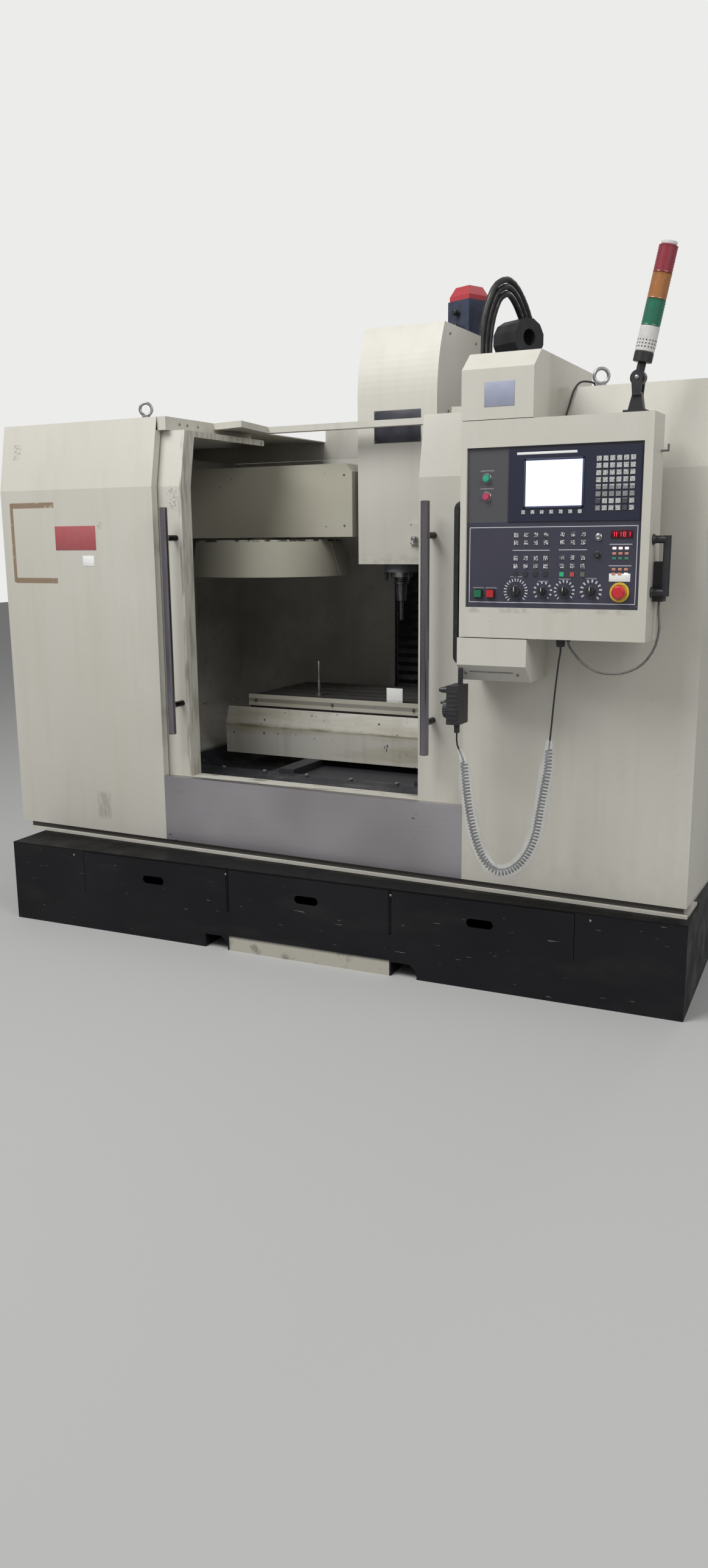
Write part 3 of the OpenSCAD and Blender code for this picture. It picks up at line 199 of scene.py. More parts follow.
pendant_route = [
    (2051, -196, 898.7), (2053, -196, 860), (2076, -198, 808), (2087, -197, 715), (2101, -194, 622),
    (2127, -191, 529), (2158, -188, 477), (2198, -184, 453), (2244, -181, 470), (2283, -178, 514),
    (2310, -175, 578), (2323, -172, 656), (2335, -169, 741), (2344, -166, 803), (2345, -162, 865),
    (2350, -159, 940), (2356, -156, 1034), (2364, -153, 1127), (2368, -150, 1160), (2368, -150, 1177.7)]


def smooth_route(points, steps):
    """Points on a smooth curve through a cord's listed points, as in the solids."""
    ends = [points[0], *points, points[-1]]
    made = []
    for i in range(len(points) - 1):
        a, b, c, d = (here(*ends[i + k]) for k in range(4))
        for k in range(steps):
            t = k / steps
            bend, twist = 2 * a - 5 * b + 4 * c - d, 3 * b - a - 3 * c + d
            made.append(0.5 * (2 * b + (c - a) * t + bend * t * t + twist * t ** 3))
    made.append(here(*points[-1]))
    return made


def route_length(points):
    """The length along points, in metres."""
    return sum((b - a).length for a, b in zip(points, points[1:]))


def lead(name, points, thickness, made):
    """A round lead along points, as a curve with a real thickness."""
    curve = bpy.data.curves.new(name, "CURVE")
    curve.dimensions = "3D"
    curve.bevel_depth = thickness / 2
    curve.bevel_resolution = 3
    curve.use_fill_caps = True
    spline = curve.splines.new("POLY")
    spline.points.add(len(points) - 1)
    for point, at in zip(spline.points, points):
        point.co = (*at, 1)
    obj = bpy.data.objects.new(name, curve)
    bpy.context.scene.collection.objects.link(obj)
    obj.data.materials.append(made)
    return obj


def curled(points, first, last, radius, turns):
    """Follows points, and winds round them in a helix between two of their numbers."""
    steps_a_turn, run_in = 14, 10
    middle = points[first:last + 1]
    whole = route_length(middle)
    made = list(points[:first])
    count = turns * steps_a_turn
    lengths = [0.0]
    for a, b in zip(middle, middle[1:]):
        lengths.append(lengths[-1] + (b - a).length)
    for i in range(count + 1):
        s = whole * i / count
        k = max(j for j in range(len(lengths) - 1) if lengths[j] <= s + 1e-9)
        t = (s - lengths[k]) / max(lengths[k + 1] - lengths[k], 1e-9)
        centre = middle[k].lerp(middle[k + 1], t)
        before = (middle[k + 1] - middle[k]).normalized()
        ahead = min(k + 1, len(middle) - 2)
        after = (middle[ahead + 1] - middle[ahead]).normalized()
        way = before.lerp(after, t).normalized()
        side = way.cross(Vector((0, 1, 0))).normalized()
        up = side.cross(way)
        angle = 2 * math.pi * turns * i / count
        reach = radius * min(1, i / run_in, (count - i) / run_in)
        made.append(centre + reach * (math.cos(angle) * side + math.sin(angle) * up))
    return made + list(points[last + 1:])


def as_mesh(obj):
    """Makes a curve a mesh, with smooth shading."""
    bpy.ops.object.select_all(action="DESELECT")
    obj.select_set(True)
    bpy.context.view_layer.objects.active = obj
    bpy.ops.object.convert(target="MESH")
    obj = bpy.context.active_object
    bpy.ops.object.shade_smooth()
    return obj


pendant_line = smooth_route(pendant_route, 3)
pendant_points = curled(pendant_line, first=6, last=42, radius=0.0095, turns=80)
pendant_lead = as_mesh(lead("pendant_lead", pendant_points, 0.0056, cord_rubber))

sleeve_film = finish("sleeve_film", (0.86, 0.88, 0.9), 0.12)
sockets(sleeve_film)["Alpha"].default_value = 0.2
sockets(sleeve_film)["IOR"].default_value = 1.45
grained(sleeve_film, clouds(sleeve_film, 0.02, 0.35, 0.65, stretch=(1, 1, 0.35), detail=5), 0.9, 0.006)


def film_bag(name, points, widths, made):
    """A crinkled film tube along points, as wide as given at each of them."""
    obj = lead(name, points, 2, made)
    obj.data.bevel_resolution = 7
    for point, wide in zip(obj.data.splines[0].points, widths):
        point.radius = wide / 2
    obj = as_mesh(obj)
    folds = bpy.data.textures.new(name + "_folds", "CLOUDS")
    folds.noise_scale = 0.016
    crinkle = obj.modifiers.new("crinkle", "DISPLACE")
    crinkle.texture = folds
    crinkle.strength = 0.014
    bpy.ops.object.modifier_apply(modifier="crinkle")
    bpy.ops.object.shade_smooth()
    return obj


bag_line = pendant_line[4:44]
bag_mouth, bag_swell, bag_neck = 0.017, 0.031, 4
bag_widths = [
    bag_mouth + bag_swell * min(1, i / bag_neck, (len(bag_line) - 1 - i) / bag_neck)
    for i in range(len(bag_line))]
pendant_sleeve = film_bag("pendant_sleeve", bag_line, bag_widths, sleeve_film)
for piece in (pendant_lead, pendant_sleeve):
    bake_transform(piece)
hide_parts("pendant_cord")

# Side cable: thin grey lead of the socket box beside the control box, down in a loose bow
# and up into a small gland under the box.
side_route = [
    (2648, -108, 1316), (2649, -109, 1280), (2656, -122, 1240), (2650, -134, 1190), (2630, -142, 1150),
    (2600, -147, 1122), (2560, -150, 1106), (2520, -151, 1102), (2480, -151, 1108), (2440, -150, 1130),
    (2410, -150, 1160), (2393, -150, 1184), (2392, -150, 1202.5)]
cable_grey = finish("cable_grey", (0.11, 0.11, 0.105), 0.5)
stained(cable_grey, (0.17, 0.165, 0.15), 0.012, 0.4, 0.7)
side_points = smooth_route(side_route, 2)
side_lead = lead("side_lead", side_points, 0.007, cable_grey)
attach(side_lead, "control")
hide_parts("side_cable")

# Roof cable: a thin black lead out of the right panel's slope, over its edge and to the eye bolt.
# It stands out of the sheet in a small stiff bow.
roof_route = [
    (2310, 26.2, 1850), (2310, 18, 1854), (2313, 22, 1873), (2318, 30, 1898), (2326, 38, 1935),
    (2332, 43, 1952), (2340, 56, 1965), (2349, 66, 1970), (2365, 74, 1969), (2380, 78, 1964),
    (2383, 78, 1954)]
roof_points = smooth_route(roof_route, 2)
roof_lead = lead("roof_lead", roof_points, 0.006, cord_rubber)
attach(roof_lead, "machine")
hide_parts("roof_cable")

# Head hoses: three stiff black hoses that arch from the head to the column's top, nested in each
# other. A route point's last value says how upright they run there.
hose_route = [
    (1600, 1240, 2060, -1), (1596, 1240, 2120, -1), (1587, 1240, 2200, -1), (1579, 1240, 2270, -1),
    (1583, 1240, 2353, -0.97), (1595, 1246, 2430, -0.85), (1614, 1265, 2498, -0.6), (1629, 1290, 2525, -0.35),
    (1640, 1330, 2540, 0), (1646, 1375, 2534, 0.35), (1650, 1430, 2512, 0.6), (1652, 1485, 2479, 0.8),
    (1654, 1535, 2438, 0.93), (1656, 1564, 2390, 1), (1660, 1580, 2330, 1), (1662, 1584, 2280, 1),
    (1662, 1584, 2230.3, 1)]
hose_black = finish("hose_black", (0.014, 0.014, 0.015), 0.36)
stained(hose_black, (0.032, 0.031, 0.03), 0.03, 0.4, 0.7)
rougher(hose_black, clouds(hose_black, 0.02), 0.3, 0.55)
for number, side in enumerate((-1, 0, 1)):
    route = [
        (x + side * 8 * w, y + side * 27 * w, z + side * 28 * math.sqrt(1 - w * w))
        for x, y, z, w in hose_route]
    hose_points = smooth_route(route, 2)
    hose = as_mesh(lead(f"head_hose_{number + 1}", hose_points, 0.026, hose_black))
    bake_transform(hose)
    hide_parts("head_hoses")

# Floor and light: a plain pale floor, one broad lamp high on the left, a weaker one on the right
# and an even pale surround.
pale_floor = finish("pale_floor", (0.42, 0.42, 0.415), 0.8)
bpy.ops.mesh.primitive_plane_add(size=40, location=(0, 0, 0))
floor = bpy.context.active_object
floor.name = "floor"
wear(floor, pale_floor)


def lamp(name, place_at, aim, power, size):
    """A soft square lamp that looks at a point."""
    bpy.ops.object.light_add(type="AREA", location=place_at)
    light = bpy.context.active_object
    light.name = name
    light.data.energy = power
    light.data.size = size
    light.rotation_euler = (Vector(aim) - Vector(place_at)).to_track_quat("-Z", "Y").to_euler()


lamp("key_lamp", (-1.4, -4.0, 6.0), (0, 0, 1.1), 325, 3.2)
lamp("fill_lamp", (4.6, -3.4, 4.2), (0, 0, 1.2), 110, 3.0)
lamp("back_lamp", (0.5, 4.5, 4.5), (0, 0, 1.2), 90, 3.5)
world = bpy.data.worlds.new("studio")
world.use_nodes = True
bpy.context.scene.world = world
studio = world.node_tree
surround = studio.nodes["Background"]
surround.inputs["Color"].default_value = (0.80, 0.80, 0.80, 1)
surround.inputs["Strength"].default_value = 0.42
pale = studio.nodes.new("ShaderNodeBackground")
pale.inputs["Color"].default_value = (0.84, 0.84, 0.83, 1)
rays = studio.nodes.new("ShaderNodeLightPath")
choice = studio.nodes.new("ShaderNodeMixShader")
studio.links.new(rays.outputs["Is Camera Ray"], choice.inputs[0])
studio.links.new(surround.outputs["Background"], choice.inputs[1])
studio.links.new(pale.outputs["Background"], choice.inputs[2])
studio.links.new(choice.outputs["Shader"], studio.nodes["World Output"].inputs["Surface"])
bpy.context.scene.view_settings.view_transform = "Standard"

# Duct, lower bracket and cabinet: folded steel sheet under sprayed cream, with slow changes of
# tone, faint drips, specks of dirt and an orange-peel skin.


def creamy(name, dust=0.3):
    """Cream machine paint: slow changes of tone, faint drips, specks of dirt and an orange-peel skin."""
    made = finish(name, (0.555, 0.54, 0.485), 0.42)
    stained(made, (0.49, 0.47, 0.405), 0.7, 0.35, 0.7, detail=2, share=0.6)
    stained(made, (0.42, 0.39, 0.31), 0.05, 0.5, 0.85, stretch=(1, 1, 0.07), detail=4, share=dust)
    stained(made, (0.22, 0.20, 0.16), 0.006, 0.72, 0.78, detail=2, share=0.5)
    rougher(made, clouds(made, 0.25, 0.3, 0.7), 0.34, 0.55)
    grained(made, clouds(made, 0.004, 0.2, 0.8, detail=2), 0.25, 0.0006)
    return made


cream_paint = creamy("cream_paint")
for name in ("lower_bracket", "cabinet", "cabinet_door", "arm_duct"):
    wear(nodes[name], cream_paint)

# Castings: bed, column, cross saddle and head casting, of iron under a coarse grey coat. The deck
# of the bed is painted dark as painted shade.


def patch(made, colour, x=None, y=None, z=None, soft=1.0, keep=None):
    """Paints a patch between two places, in millimetres, along each axis that is given."""
    mask = keep
    for axis, ends in enumerate((x, y, z)):
        if ends:
            low, high = ((end - frame_origin[axis]) / 1000 for end in ends)
            part = between(made, axis, low, high, soft / 1000)
            mask = part if mask is None else times(made, mask, part)
    over(made, mask, colour)


casting_paint = finish("casting_paint", (0.15, 0.16, 0.168), 0.5)
stained(casting_paint, (0.095, 0.10, 0.108), 0.2, 0.35, 0.75, detail=4)
stained(casting_paint, (0.07, 0.065, 0.055), 0.04, 0.55, 0.8, stretch=(1, 1, 0.2), share=0.6)
# Painted shade: the bed's deck and ways inside the enclosure, darkened near black.
patch(casting_paint, (0.03, 0.03, 0.036), y=(240, 620), z=(560, 606))
grained(casting_paint, clouds(casting_paint, 0.008, 0.2, 0.8, detail=4), 0.5, 0.002)
for name in ("bed", "column", "saddle", "head"):
    wear(nodes[name], casting_paint)

# Feet, spindle nose and lift screw: turned and ground steel, left bare, with faint rings from the
# lathe.
bare_steel = finish("bare_steel", (0.42, 0.42, 0.43), 0.32, 1.0)
stained(bare_steel, (0.26, 0.25, 0.24), 0.03, 0.4, 0.75, detail=4)
rougher(bare_steel, clouds(bare_steel, 0.015, 0.3, 0.7), 0.25, 0.5)
grained(bare_steel, clouds(bare_steel, 0.0008, 0.3, 0.7, stretch=(1, 1, 0.05)), 0.12, 0.0003)
for name in ("levelling_feet", "spindle", "z_screw"):
    wear(nodes[name], bare_steel)

# Black mouldings: hose drum, hand pendant with its wheel, side grip, tower bracket and the knobs of
# the four dials, all of fine-grained black plastic.
black_plastic = finish("black_plastic", (0.020, 0.020, 0.023), 0.42)
stained(black_plastic, (0.034, 0.033, 0.034), 0.05, 0.45, 0.8)
grained(black_plastic, clouds(black_plastic, 0.0015, 0.2, 0.8), 0.2, 0.0004)
for name in (
        "hose_drum", "pendant_body", "pendant_wheel", "side_handle", "tower_bracket", "knob_spindle",
        "knob_feed", "knob_rapid", "knob_mode"):
    wear(nodes[name], black_plastic)

# Bellows: pleated rubber guard over the ways below the head.


def opened():
    """Opens the active piece in edit mode, with its scale applied and all of it selected."""
    bpy.ops.object.transform_apply()
    bpy.ops.object.mode_set(mode="EDIT")
    bpy.ops.mesh.select_all(action="SELECT")


def closed():
    """Turns all faces of the open piece outwards and leaves edit mode."""
    bpy.ops.mesh.select_all(action="SELECT")
    bpy.ops.mesh.normals_make_consistent(inside=False)
    bpy.ops.object.mode_set(mode="OBJECT")
    return bpy.context.active_object


bellows_rubber = finish("bellows_rubber", (0.018, 0.018, 0.019), 0.6)
stained(bellows_rubber, (0.05, 0.048, 0.044), 0.05, 0.45, 0.75, detail=5)
grained(bellows_rubber, clouds(bellows_rubber, 0.003), 0.3, 0.0006)
low, high = here(1140, 1323, 640.3), here(1660, 1345, 1449.7)
bpy.ops.object.select_all(action="DESELECT")
bpy.ops.mesh.primitive_plane_add(size=1, location=((low.x + high.x) / 2, (low.y + high.y) / 2, low.z))
bellows = bpy.context.active_object
half_pleats, shallow, deep = 40, 22, 40
bellows.scale = (high.x - low.x, high.y - low.y, 1)
opened()
for number in range(half_pleats):
    fold = shallow / deep if number % 2 else deep / shallow
    bpy.ops.mesh.extrude_region_move(TRANSFORM_OT_translate={"value": (0, 0, (high.z - low.z) / half_pleats)})
    bpy.ops.transform.resize(value=(1, fold, 1), center_override=(0, high.y, 0))
closed()
bellows.name = "bellows"
wear(bellows, bellows_rubber)
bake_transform(bellows)
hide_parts("column_bellows")

# Feed motor: the lift motor on the column, with its blue cast housing, a red cap held by four
# screws and two plugs that leave it to the front.
motor_paint = finish("motor_paint", (0.045, 0.055, 0.095), 0.42)
stained(motor_paint, (0.03, 0.035, 0.055), 0.04, 0.4, 0.75)
patch(motor_paint, (0.42, 0.045, 0.055), z=(2530.5, 2600))
grained(motor_paint, clouds(motor_paint, 0.003), 0.3, 0.0006)
wear(nodes["z_motor"], motor_paint)


def seat(obj, name, made, body, sharp=32):
    """Names a new piece, finishes it, and lets it ride on its body."""
    obj.name = name
    wear(obj, made)
    bpy.ops.object.shade_smooth_by_angle(angle=math.radians(sharp))
    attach(obj, body)
    return obj


def turned(name, at, towards, profile, made, body, sides=32):
    """A round piece from (height, radius) pairs in millimetres, from its seat outwards."""
    bpy.ops.object.select_all(action="DESELECT")
    bpy.ops.mesh.primitive_circle_add(
        vertices=sides, radius=profile[0][1] / 1000, fill_type="NGON", location=(0, 0, profile[0][0] / 1000))
    opened()
    for (low, wide), (high, narrow) in zip(profile, profile[1:]):
        bpy.ops.mesh.extrude_region_move(TRANSFORM_OT_translate={"value": (0, 0, (high - low) / 1000)})
        bpy.ops.transform.resize(value=(narrow / wide, narrow / wide, 1), center_override=(0, 0, 0))
    obj = closed()
    obj.rotation_euler = Vector(towards).to_track_quat("Z", "Y").to_euler()
    obj.location = here(*at)
    bpy.ops.object.transform_apply()
    return seat(obj, name, made, body)


screw_steel = finish("screw_steel", (0.30, 0.29, 0.28), 0.38, 0.9)
stained(screw_steel, (0.16, 0.15, 0.14), 0.004, 0.4, 0.7)


def screw(name, at, towards, size, body):
    """A button-head screw with a hexagon socket. Its size is its head's radius."""
    shares = ((0, 1), (0.35, 0.95), (0.6, 0.7), (0.62, 0.4), (0.3, 0.36))
    profile = [(size * high, size * wide) for high, wide in shares]
    return turned(name, at, towards, profile, screw_steel, body, 18)


upwards = (0, 0, 1)
motor_x, motor_y, motor_turn = 1400, 1500, math.radians(-23.5)
for number, (level, reach) in enumerate(((2478, 30), (2420, 26))):
    out = (math.sin(motor_turn), -math.cos(motor_turn), 0)
    at = (motor_x + 65 * out[0], motor_y + 65 * out[1], level)
    turned(
        f"motor_plug_{number + 1}", at, out,
        [(0, 15), (6, 15), (7, 12), (reach - 8, 12), (reach - 6, 13.5), (reach, 13.5), (reach + 4, 9)],
        black_plastic, "machine", 20)
for number, corner in enumerate(((-1, -1), (1, -1), (1, 1), (-1, 1))):
    x = 54 * (corner[0] * math.cos(motor_turn) - corner[1] * math.sin(motor_turn))
    y = 54 * (corner[0] * math.sin(motor_turn) + corner[1] * math.cos(motor_turn))
    screw(f"motor_cap_screw_{number + 1}", (motor_x + x, motor_y + y, 2530.2), upwards, 5, "machine")

# Enclosure panels: folded sheet, sprayed cream. The left one wears a blank red plate, a blank
# white label and brown glue left by tape; both are a little dirty near the floor.


def chipped(made, colour, spots, x=None, y=None, z=None, soft=1.0, **kind):
    """A patch that only shows in blotches, from their size in metres and their two limits."""
    patch(made, colour, x, y, z, soft, keep=clouds(made, *spots, **kind))


left_cream = creamy("left_cream")
glue = times(left_cream, clouds(left_cream, 0.03, 0.2, 0.36), 0.95)
for x, z in (((48, 270), (1634, 1655)), ((53, 270), (1343, 1364)), ((44, 60), (1346, 1654))):
    patch(left_cream, (0.24, 0.17, 0.11), x=x, y=(-2, 1), z=z, keep=glue)
chipped(
    left_cream, (0.11, 0.10, 0.085), (0.012, 0.36, 0.54), x=(412, 474), y=(-2, 1), z=(408, 512), soft=9,
    stretch=(1, 1, 0.3))
chipped(left_cream, (0.10, 0.10, 0.09), (0.006, 0.48, 0.56), x=(484, 500), y=(-2, 1), z=(1552, 1576), soft=3)
chipped(left_cream, (0.35, 0.33, 0.28), (0.008, 0.5, 0.6), x=(56, 96), y=(0, 48), z=(1820, 1880), soft=4)
wear(nodes["left_panel"], left_cream)
right_cream = creamy("right_cream")
chipped(right_cream, (0.40, 0.37, 0.30), (0.05, 0.45, 0.7), y=(-2, 1), z=(353, 470), soft=90)
wear(nodes["right_panel"], right_cream)


def slab(name, low, high, made, body, soft=1.0):
    """A plate or block between two corners in millimetres, with softened edges."""
    a, b = here(*low), here(*high)
    bpy.ops.object.select_all(action="DESELECT")
    bpy.ops.mesh.primitive_cube_add(size=1, location=(a + b) / 2, scale=b - a)
    opened()
    bpy.ops.mesh.bevel(offset=soft / 1000, segments=2, affect="EDGES")
    bpy.ops.object.mode_set(mode="OBJECT")
    return seat(bpy.context.active_object, name, made, body)


red_plate = finish("red_plate", (0.36, 0.10, 0.105), 0.4)
stained(red_plate, (0.42, 0.06, 0.07), 0.03, 0.4, 0.7, share=0.5)
slab("red_plate", (271, -1.2, 1472), (471, -0.05, 1563), red_plate, "machine", 0.4)
label_white = finish("label_white", (0.78, 0.78, 0.76), 0.5)
stained(label_white, (0.60, 0.59, 0.56), 0.012, 0.6, 0.75)
slab("white_label", (403, -0.7, 1411), (458, -0.05, 1450), label_white, "machine", 0.2)

# Frame: welded rails, posts and header that the doors run on, painted with the panels. Chips and
# grime sit where the doors rub; the recess under the panels gets a dark band of painted shade.
frame_cream = creamy("frame_cream", 0.5)
# Painted shade: a dark band in the recess under the panels' lower edges.
patch(frame_cream, (0.06, 0.055, 0.05), y=(11, 16.5), z=(320, 360))
chipped(
    frame_cream, (0.26, 0.25, 0.21), (0.03, 0.56, 0.68), z=(520, 612), y=(30, 170), soft=3,
    stretch=(0.3, 1, 1))
wear(nodes["enclosure_frame"], frame_cream)


def screws(name, places, towards, size, body):
    """Like screws at several places, numbered from one."""
    for number, at in enumerate(places):
        screw(f"{name}_{number + 1}", at, towards, size, body)


rightwards, leftwards = (1, 0, 0), (-1, 0, 0)
screws("rail_screw", [(x, y, 1953) for x in (765, 1975) for y in (96, 330)], upwards, 5, "machine")
for number in range(6):
    x, way = (783.3, rightwards) if number < 3 else (1956.7, leftwards)
    screw(f"frame_bolt_{number + 1}", (x, (140, 190, 260)[number % 3], 1930), way, 5, "machine")

# Eye bolts: two forged lifting eyes on the roof, each a round foot and a ring that stands upright
# and is turned to the right.
for name, x, y in (("left", 683, 72), ("right", 2401, 80)):
    eye_foot = turned(
        f"eye_foot_{name}", (x, y, 1953.3), upwards, [(0, 15), (5, 15), (6, 14)], bare_steel, "machine",
        24)
    bpy.ops.object.select_all(action="DESELECT")
    bpy.ops.mesh.primitive_torus_add(
        major_radius=0.022, minor_radius=0.0055, major_segments=40, minor_segments=14,
        location=here(x, y, 1983.8), rotation=(math.radians(90), 0, math.radians(27)))
    bpy.ops.object.transform_apply()
    eye_ring = seat(bpy.context.active_object, f"eye_ring_{name}", bare_steel, "machine", 60)
    for piece in (eye_foot, eye_ring):
        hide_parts("eye_bolts")

# Apron: brushed stainless sheet under the door opening, held by the folded edges of the panels. Its
# grain runs across, with a few dark marks from chips and hands.
brushed = finish("brushed_stainless", (0.50, 0.48, 0.50), 0.3, 0.85)
stained(brushed, (0.32, 0.30, 0.315), 0.5, 0.3, 0.75, detail=2)
stained(brushed, (0.33, 0.31, 0.34), 0.004, 0.3, 0.8, stretch=(0.02, 1, 1), detail=4, share=0.25)
stained(brushed, (0.10, 0.09, 0.10), 0.02, 0.70, 0.74, stretch=(0.4, 1, 1))
rougher(brushed, clouds(brushed, 0.002, 0.3, 0.7, stretch=(0.02, 1, 1)), 0.3, 0.42)
grained(brushed, clouds(brushed, 0.0015, 0.3, 0.7, stretch=(0.02, 1, 1)), 0.05, 0.0002)
wear(nodes["apron"], brushed)

# Sheet inside: splash walls with ribs and chip chutes, dark with coolant and dried drips, over the
# deck in front of the bed, which is painted near black as painted shade. Four plates carry the back
# wall up beside the column.
splash = finish("splash_sheet", (0.50, 0.485, 0.44), 0.5)
stained(splash, (0.36, 0.345, 0.31), 0.25, 0.35, 0.7, detail=3)
stained(splash, (0.52, 0.48, 0.39), 0.05, 0.5, 0.75, stretch=(1, 1, 0.05), detail=5, share=0.45)
# Painted shade: the deck at the foot of the walls, near black, with a grey strip along its upper edge.
patch(splash, (0.022, 0.022, 0.031), z=(540, 596), soft=2)
patch(splash, (0.20, 0.20, 0.19), z=(594, 600), soft=1)
stained(splash, (0.26, 0.25, 0.23), 0.012, 0.66, 0.72, detail=4)
rougher(splash, clouds(splash, 0.12, 0.35, 0.65), 0.22, 0.6)
wear(nodes["inner_walls"], splash)
for name, low, high, top in (
        ("left_side", 6, 751.5, 1950), ("left", 752, 1106, 2010), ("right", 1694, 1988, 2010),
        ("right_side", 1988.5, 2750, 1950)):
    slab(f"back_guard_{name}", (low, 1342, 1870.5), (high, 1345, top), splash, "machine", 0.5)

# Doors: folded cream skins with a window each. The pane is dark safety glass behind a rubber
# seal, and the strip beside the left handle has lost some paint.
door_cream = creamy("door_cream")
chipped(
    door_cream, (0.035, 0.035, 0.032), (0.008, 0.50, 0.55), x=(788, 830), y=(38, 42), z=(1618, 1694), soft=9,
    detail=4)
chipped(
    door_cream, (0.30, 0.28, 0.22), (0.02, 0.45, 0.65), x=(836, 851), z=(610, 1904), soft=4,
    stretch=(1, 1, 0.15))
for side in ("left", "right"):
    wear(nodes[f"{side}_door"], door_cream)

tinted_glass = finish("tinted_glass", (0.020, 0.024, 0.034), 0.06)
sockets(tinted_glass)["Alpha"].default_value = 0.86
sockets(tinted_glass)["Coat Weight"].default_value = 0.6
stained(tinted_glass, (0.07, 0.075, 0.08), 0.09, 0.5, 0.8, stretch=(1, 1, 0.3), share=0.3)
rougher(tinted_glass, clouds(tinted_glass, 0.05, 0.5, 0.8), 0.05, 0.25)
seal_rubber = finish("seal_rubber", (0.016, 0.016, 0.017), 0.55)
stained(seal_rubber, (0.04, 0.04, 0.038), 0.02, 0.5, 0.8)


def rubber_frame(name, low, high, wide, corner, body):
    """A rubber seal with round corners between two corners in millimetres, drawn in the front view."""
    a, b = here(*low), here(*high)
    bpy.ops.object.select_all(action="DESELECT")
    bpy.ops.mesh.primitive_plane_add(size=1, location=(a + b) / 2, rotation=(math.pi / 2, 0, 0))
    bpy.context.active_object.scale = (b.x - a.x, b.z - a.z, 1)
    opened()
    bpy.ops.mesh.bevel(offset=corner / 1000, segments=6, affect="VERTICES")
    bpy.ops.mesh.select_all(action="SELECT")
    bpy.ops.mesh.inset(thickness=wide / 1000)
    bpy.ops.mesh.delete(type="FACE")
    bpy.ops.mesh.select_all(action="SELECT")
    bpy.ops.mesh.extrude_region_move(TRANSFORM_OT_translate={"value": (0, a.y - (a.y + b.y) / 2, 0)})
    obj = closed()
    soften = obj.modifiers.new("soften", "BEVEL")
    soften.width = 0.0012
    soften.segments = 2
    bpy.ops.object.modifier_apply(modifier="soften")
    return seat(obj, name, seal_rubber, body)


for side, x in (("left", 342), ("right", 1948)):
    wear(nodes[f"{side}_window"], tinted_glass)
    rubber_frame(f"{side}_window_seal", (x - 9, 36.5, 1091), (x + 379, 40, 1622), 17, 26, f"door_{side}")

# Door handles: polished steel tubes on two black blocks each, fixed from inside the door. Their
# ends are flat and closed with a turned plug.
handle_steel = finish("handle_steel", (0.33, 0.315, 0.345), 0.18, 1.0)
stained(handle_steel, (0.22, 0.205, 0.235), 0.15, 0.35, 0.75, stretch=(1, 1, 0.3))
patch(handle_steel, (0.014, 0.014, 0.016), y=(-17.3, 60), soft=0.2)
rougher(handle_steel, clouds(handle_steel, 0.01, 0.3, 0.7, stretch=(1, 1, 0.05)), 0.14, 0.32)
for side, x in (("left", 819), ("right", 1866)):
    wear(nodes[f"{side}_handle"], handle_steel)
    for end, z, way in (("top", 1619.6, 1), ("foot", 787.4, -1)):
        turned(
            f"{side}_handle_{end}", (x, -32, z), (0, 0, way), [(0, 15.4), (3, 15.4), (4.5, 13.5), (4.2, 6)],
            handle_steel, f"door_{side}")

# Head: cream sheet-metal hood over the spindle casting, with screws along both sides, a blank dark
# badge and a switch box with a knob. Two jointed coolant nozzles hang beside the tool.
head_cream = creamy("head_cream")
chipped(head_cream, (0.30, 0.27, 0.20), (0.03, 0.4, 0.65), y=(698, 705), z=(1404, 1440), soft=16)
wear(nodes["head_cover"], head_cream)
front = (0, -1, 0)
badge_dark = finish("badge_dark", (0.030, 0.030, 0.042), 0.3)
stained(badge_dark, (0.05, 0.05, 0.062), 0.06, 0.4, 0.7)
slab("head_badge", (1323, 697.6, 1876), (1524, 699.9, 1998), badge_dark, "head_unit", 0.8)
screws("badge_screw", [(x, 697.5, z) for z in (1883, 1991) for x in (1330, 1517)], front, 3, "head_unit")
screws("switch_screw", [(x, 687.9, z) for z in (1488, 1559) for x in (1488, 1525)], front, 2.6, "head_unit")
turned(
    "switch_knob_face", (1506.5, 674.2, 1504), front,
    [(0, 12.2), (2.5, 12.2), (3.5, 11), (2.8, 9.5), (5, 8.5), (6, 5)], bare_steel, "head_unit")
for number, (y, z) in enumerate((
        (824, 2284), (812, 1995), (820, 1700), (820, 1440), (1100, 2284), (1100, 1995))):
    for side, x, way in (("left", 1248.4, leftwards), ("right", 1591.6, rightwards)):
        screw(f"hood_screw_{side}_{number + 1}", (x, y, z), way, 5.5, "head_unit")
tool_steel = finish("tool_steel", (0.16, 0.165, 0.175), 0.3, 0.9)
stained(tool_steel, (0.09, 0.09, 0.095), 0.01, 0.4, 0.7)
wear(nodes["tool"], tool_steel)
spindle_x, spindle_y, nozzle_ring = 1400, 790, 62
for number, turn in enumerate((35, 145)):
    x = spindle_x + nozzle_ring * math.cos(math.radians(turn))
    y = spindle_y - nozzle_ring * math.sin(math.radians(turn))
    turned(
        f"coolant_nozzle_{number + 1}", (x, y, 1372.2), (0, 0, -1),
        [(0, 9), (8, 9), (9, 7), (16, 8), (17, 6.5), (24, 7.5), (25, 6), (36, 3.2)], black_plastic,
        "head_unit", 20)

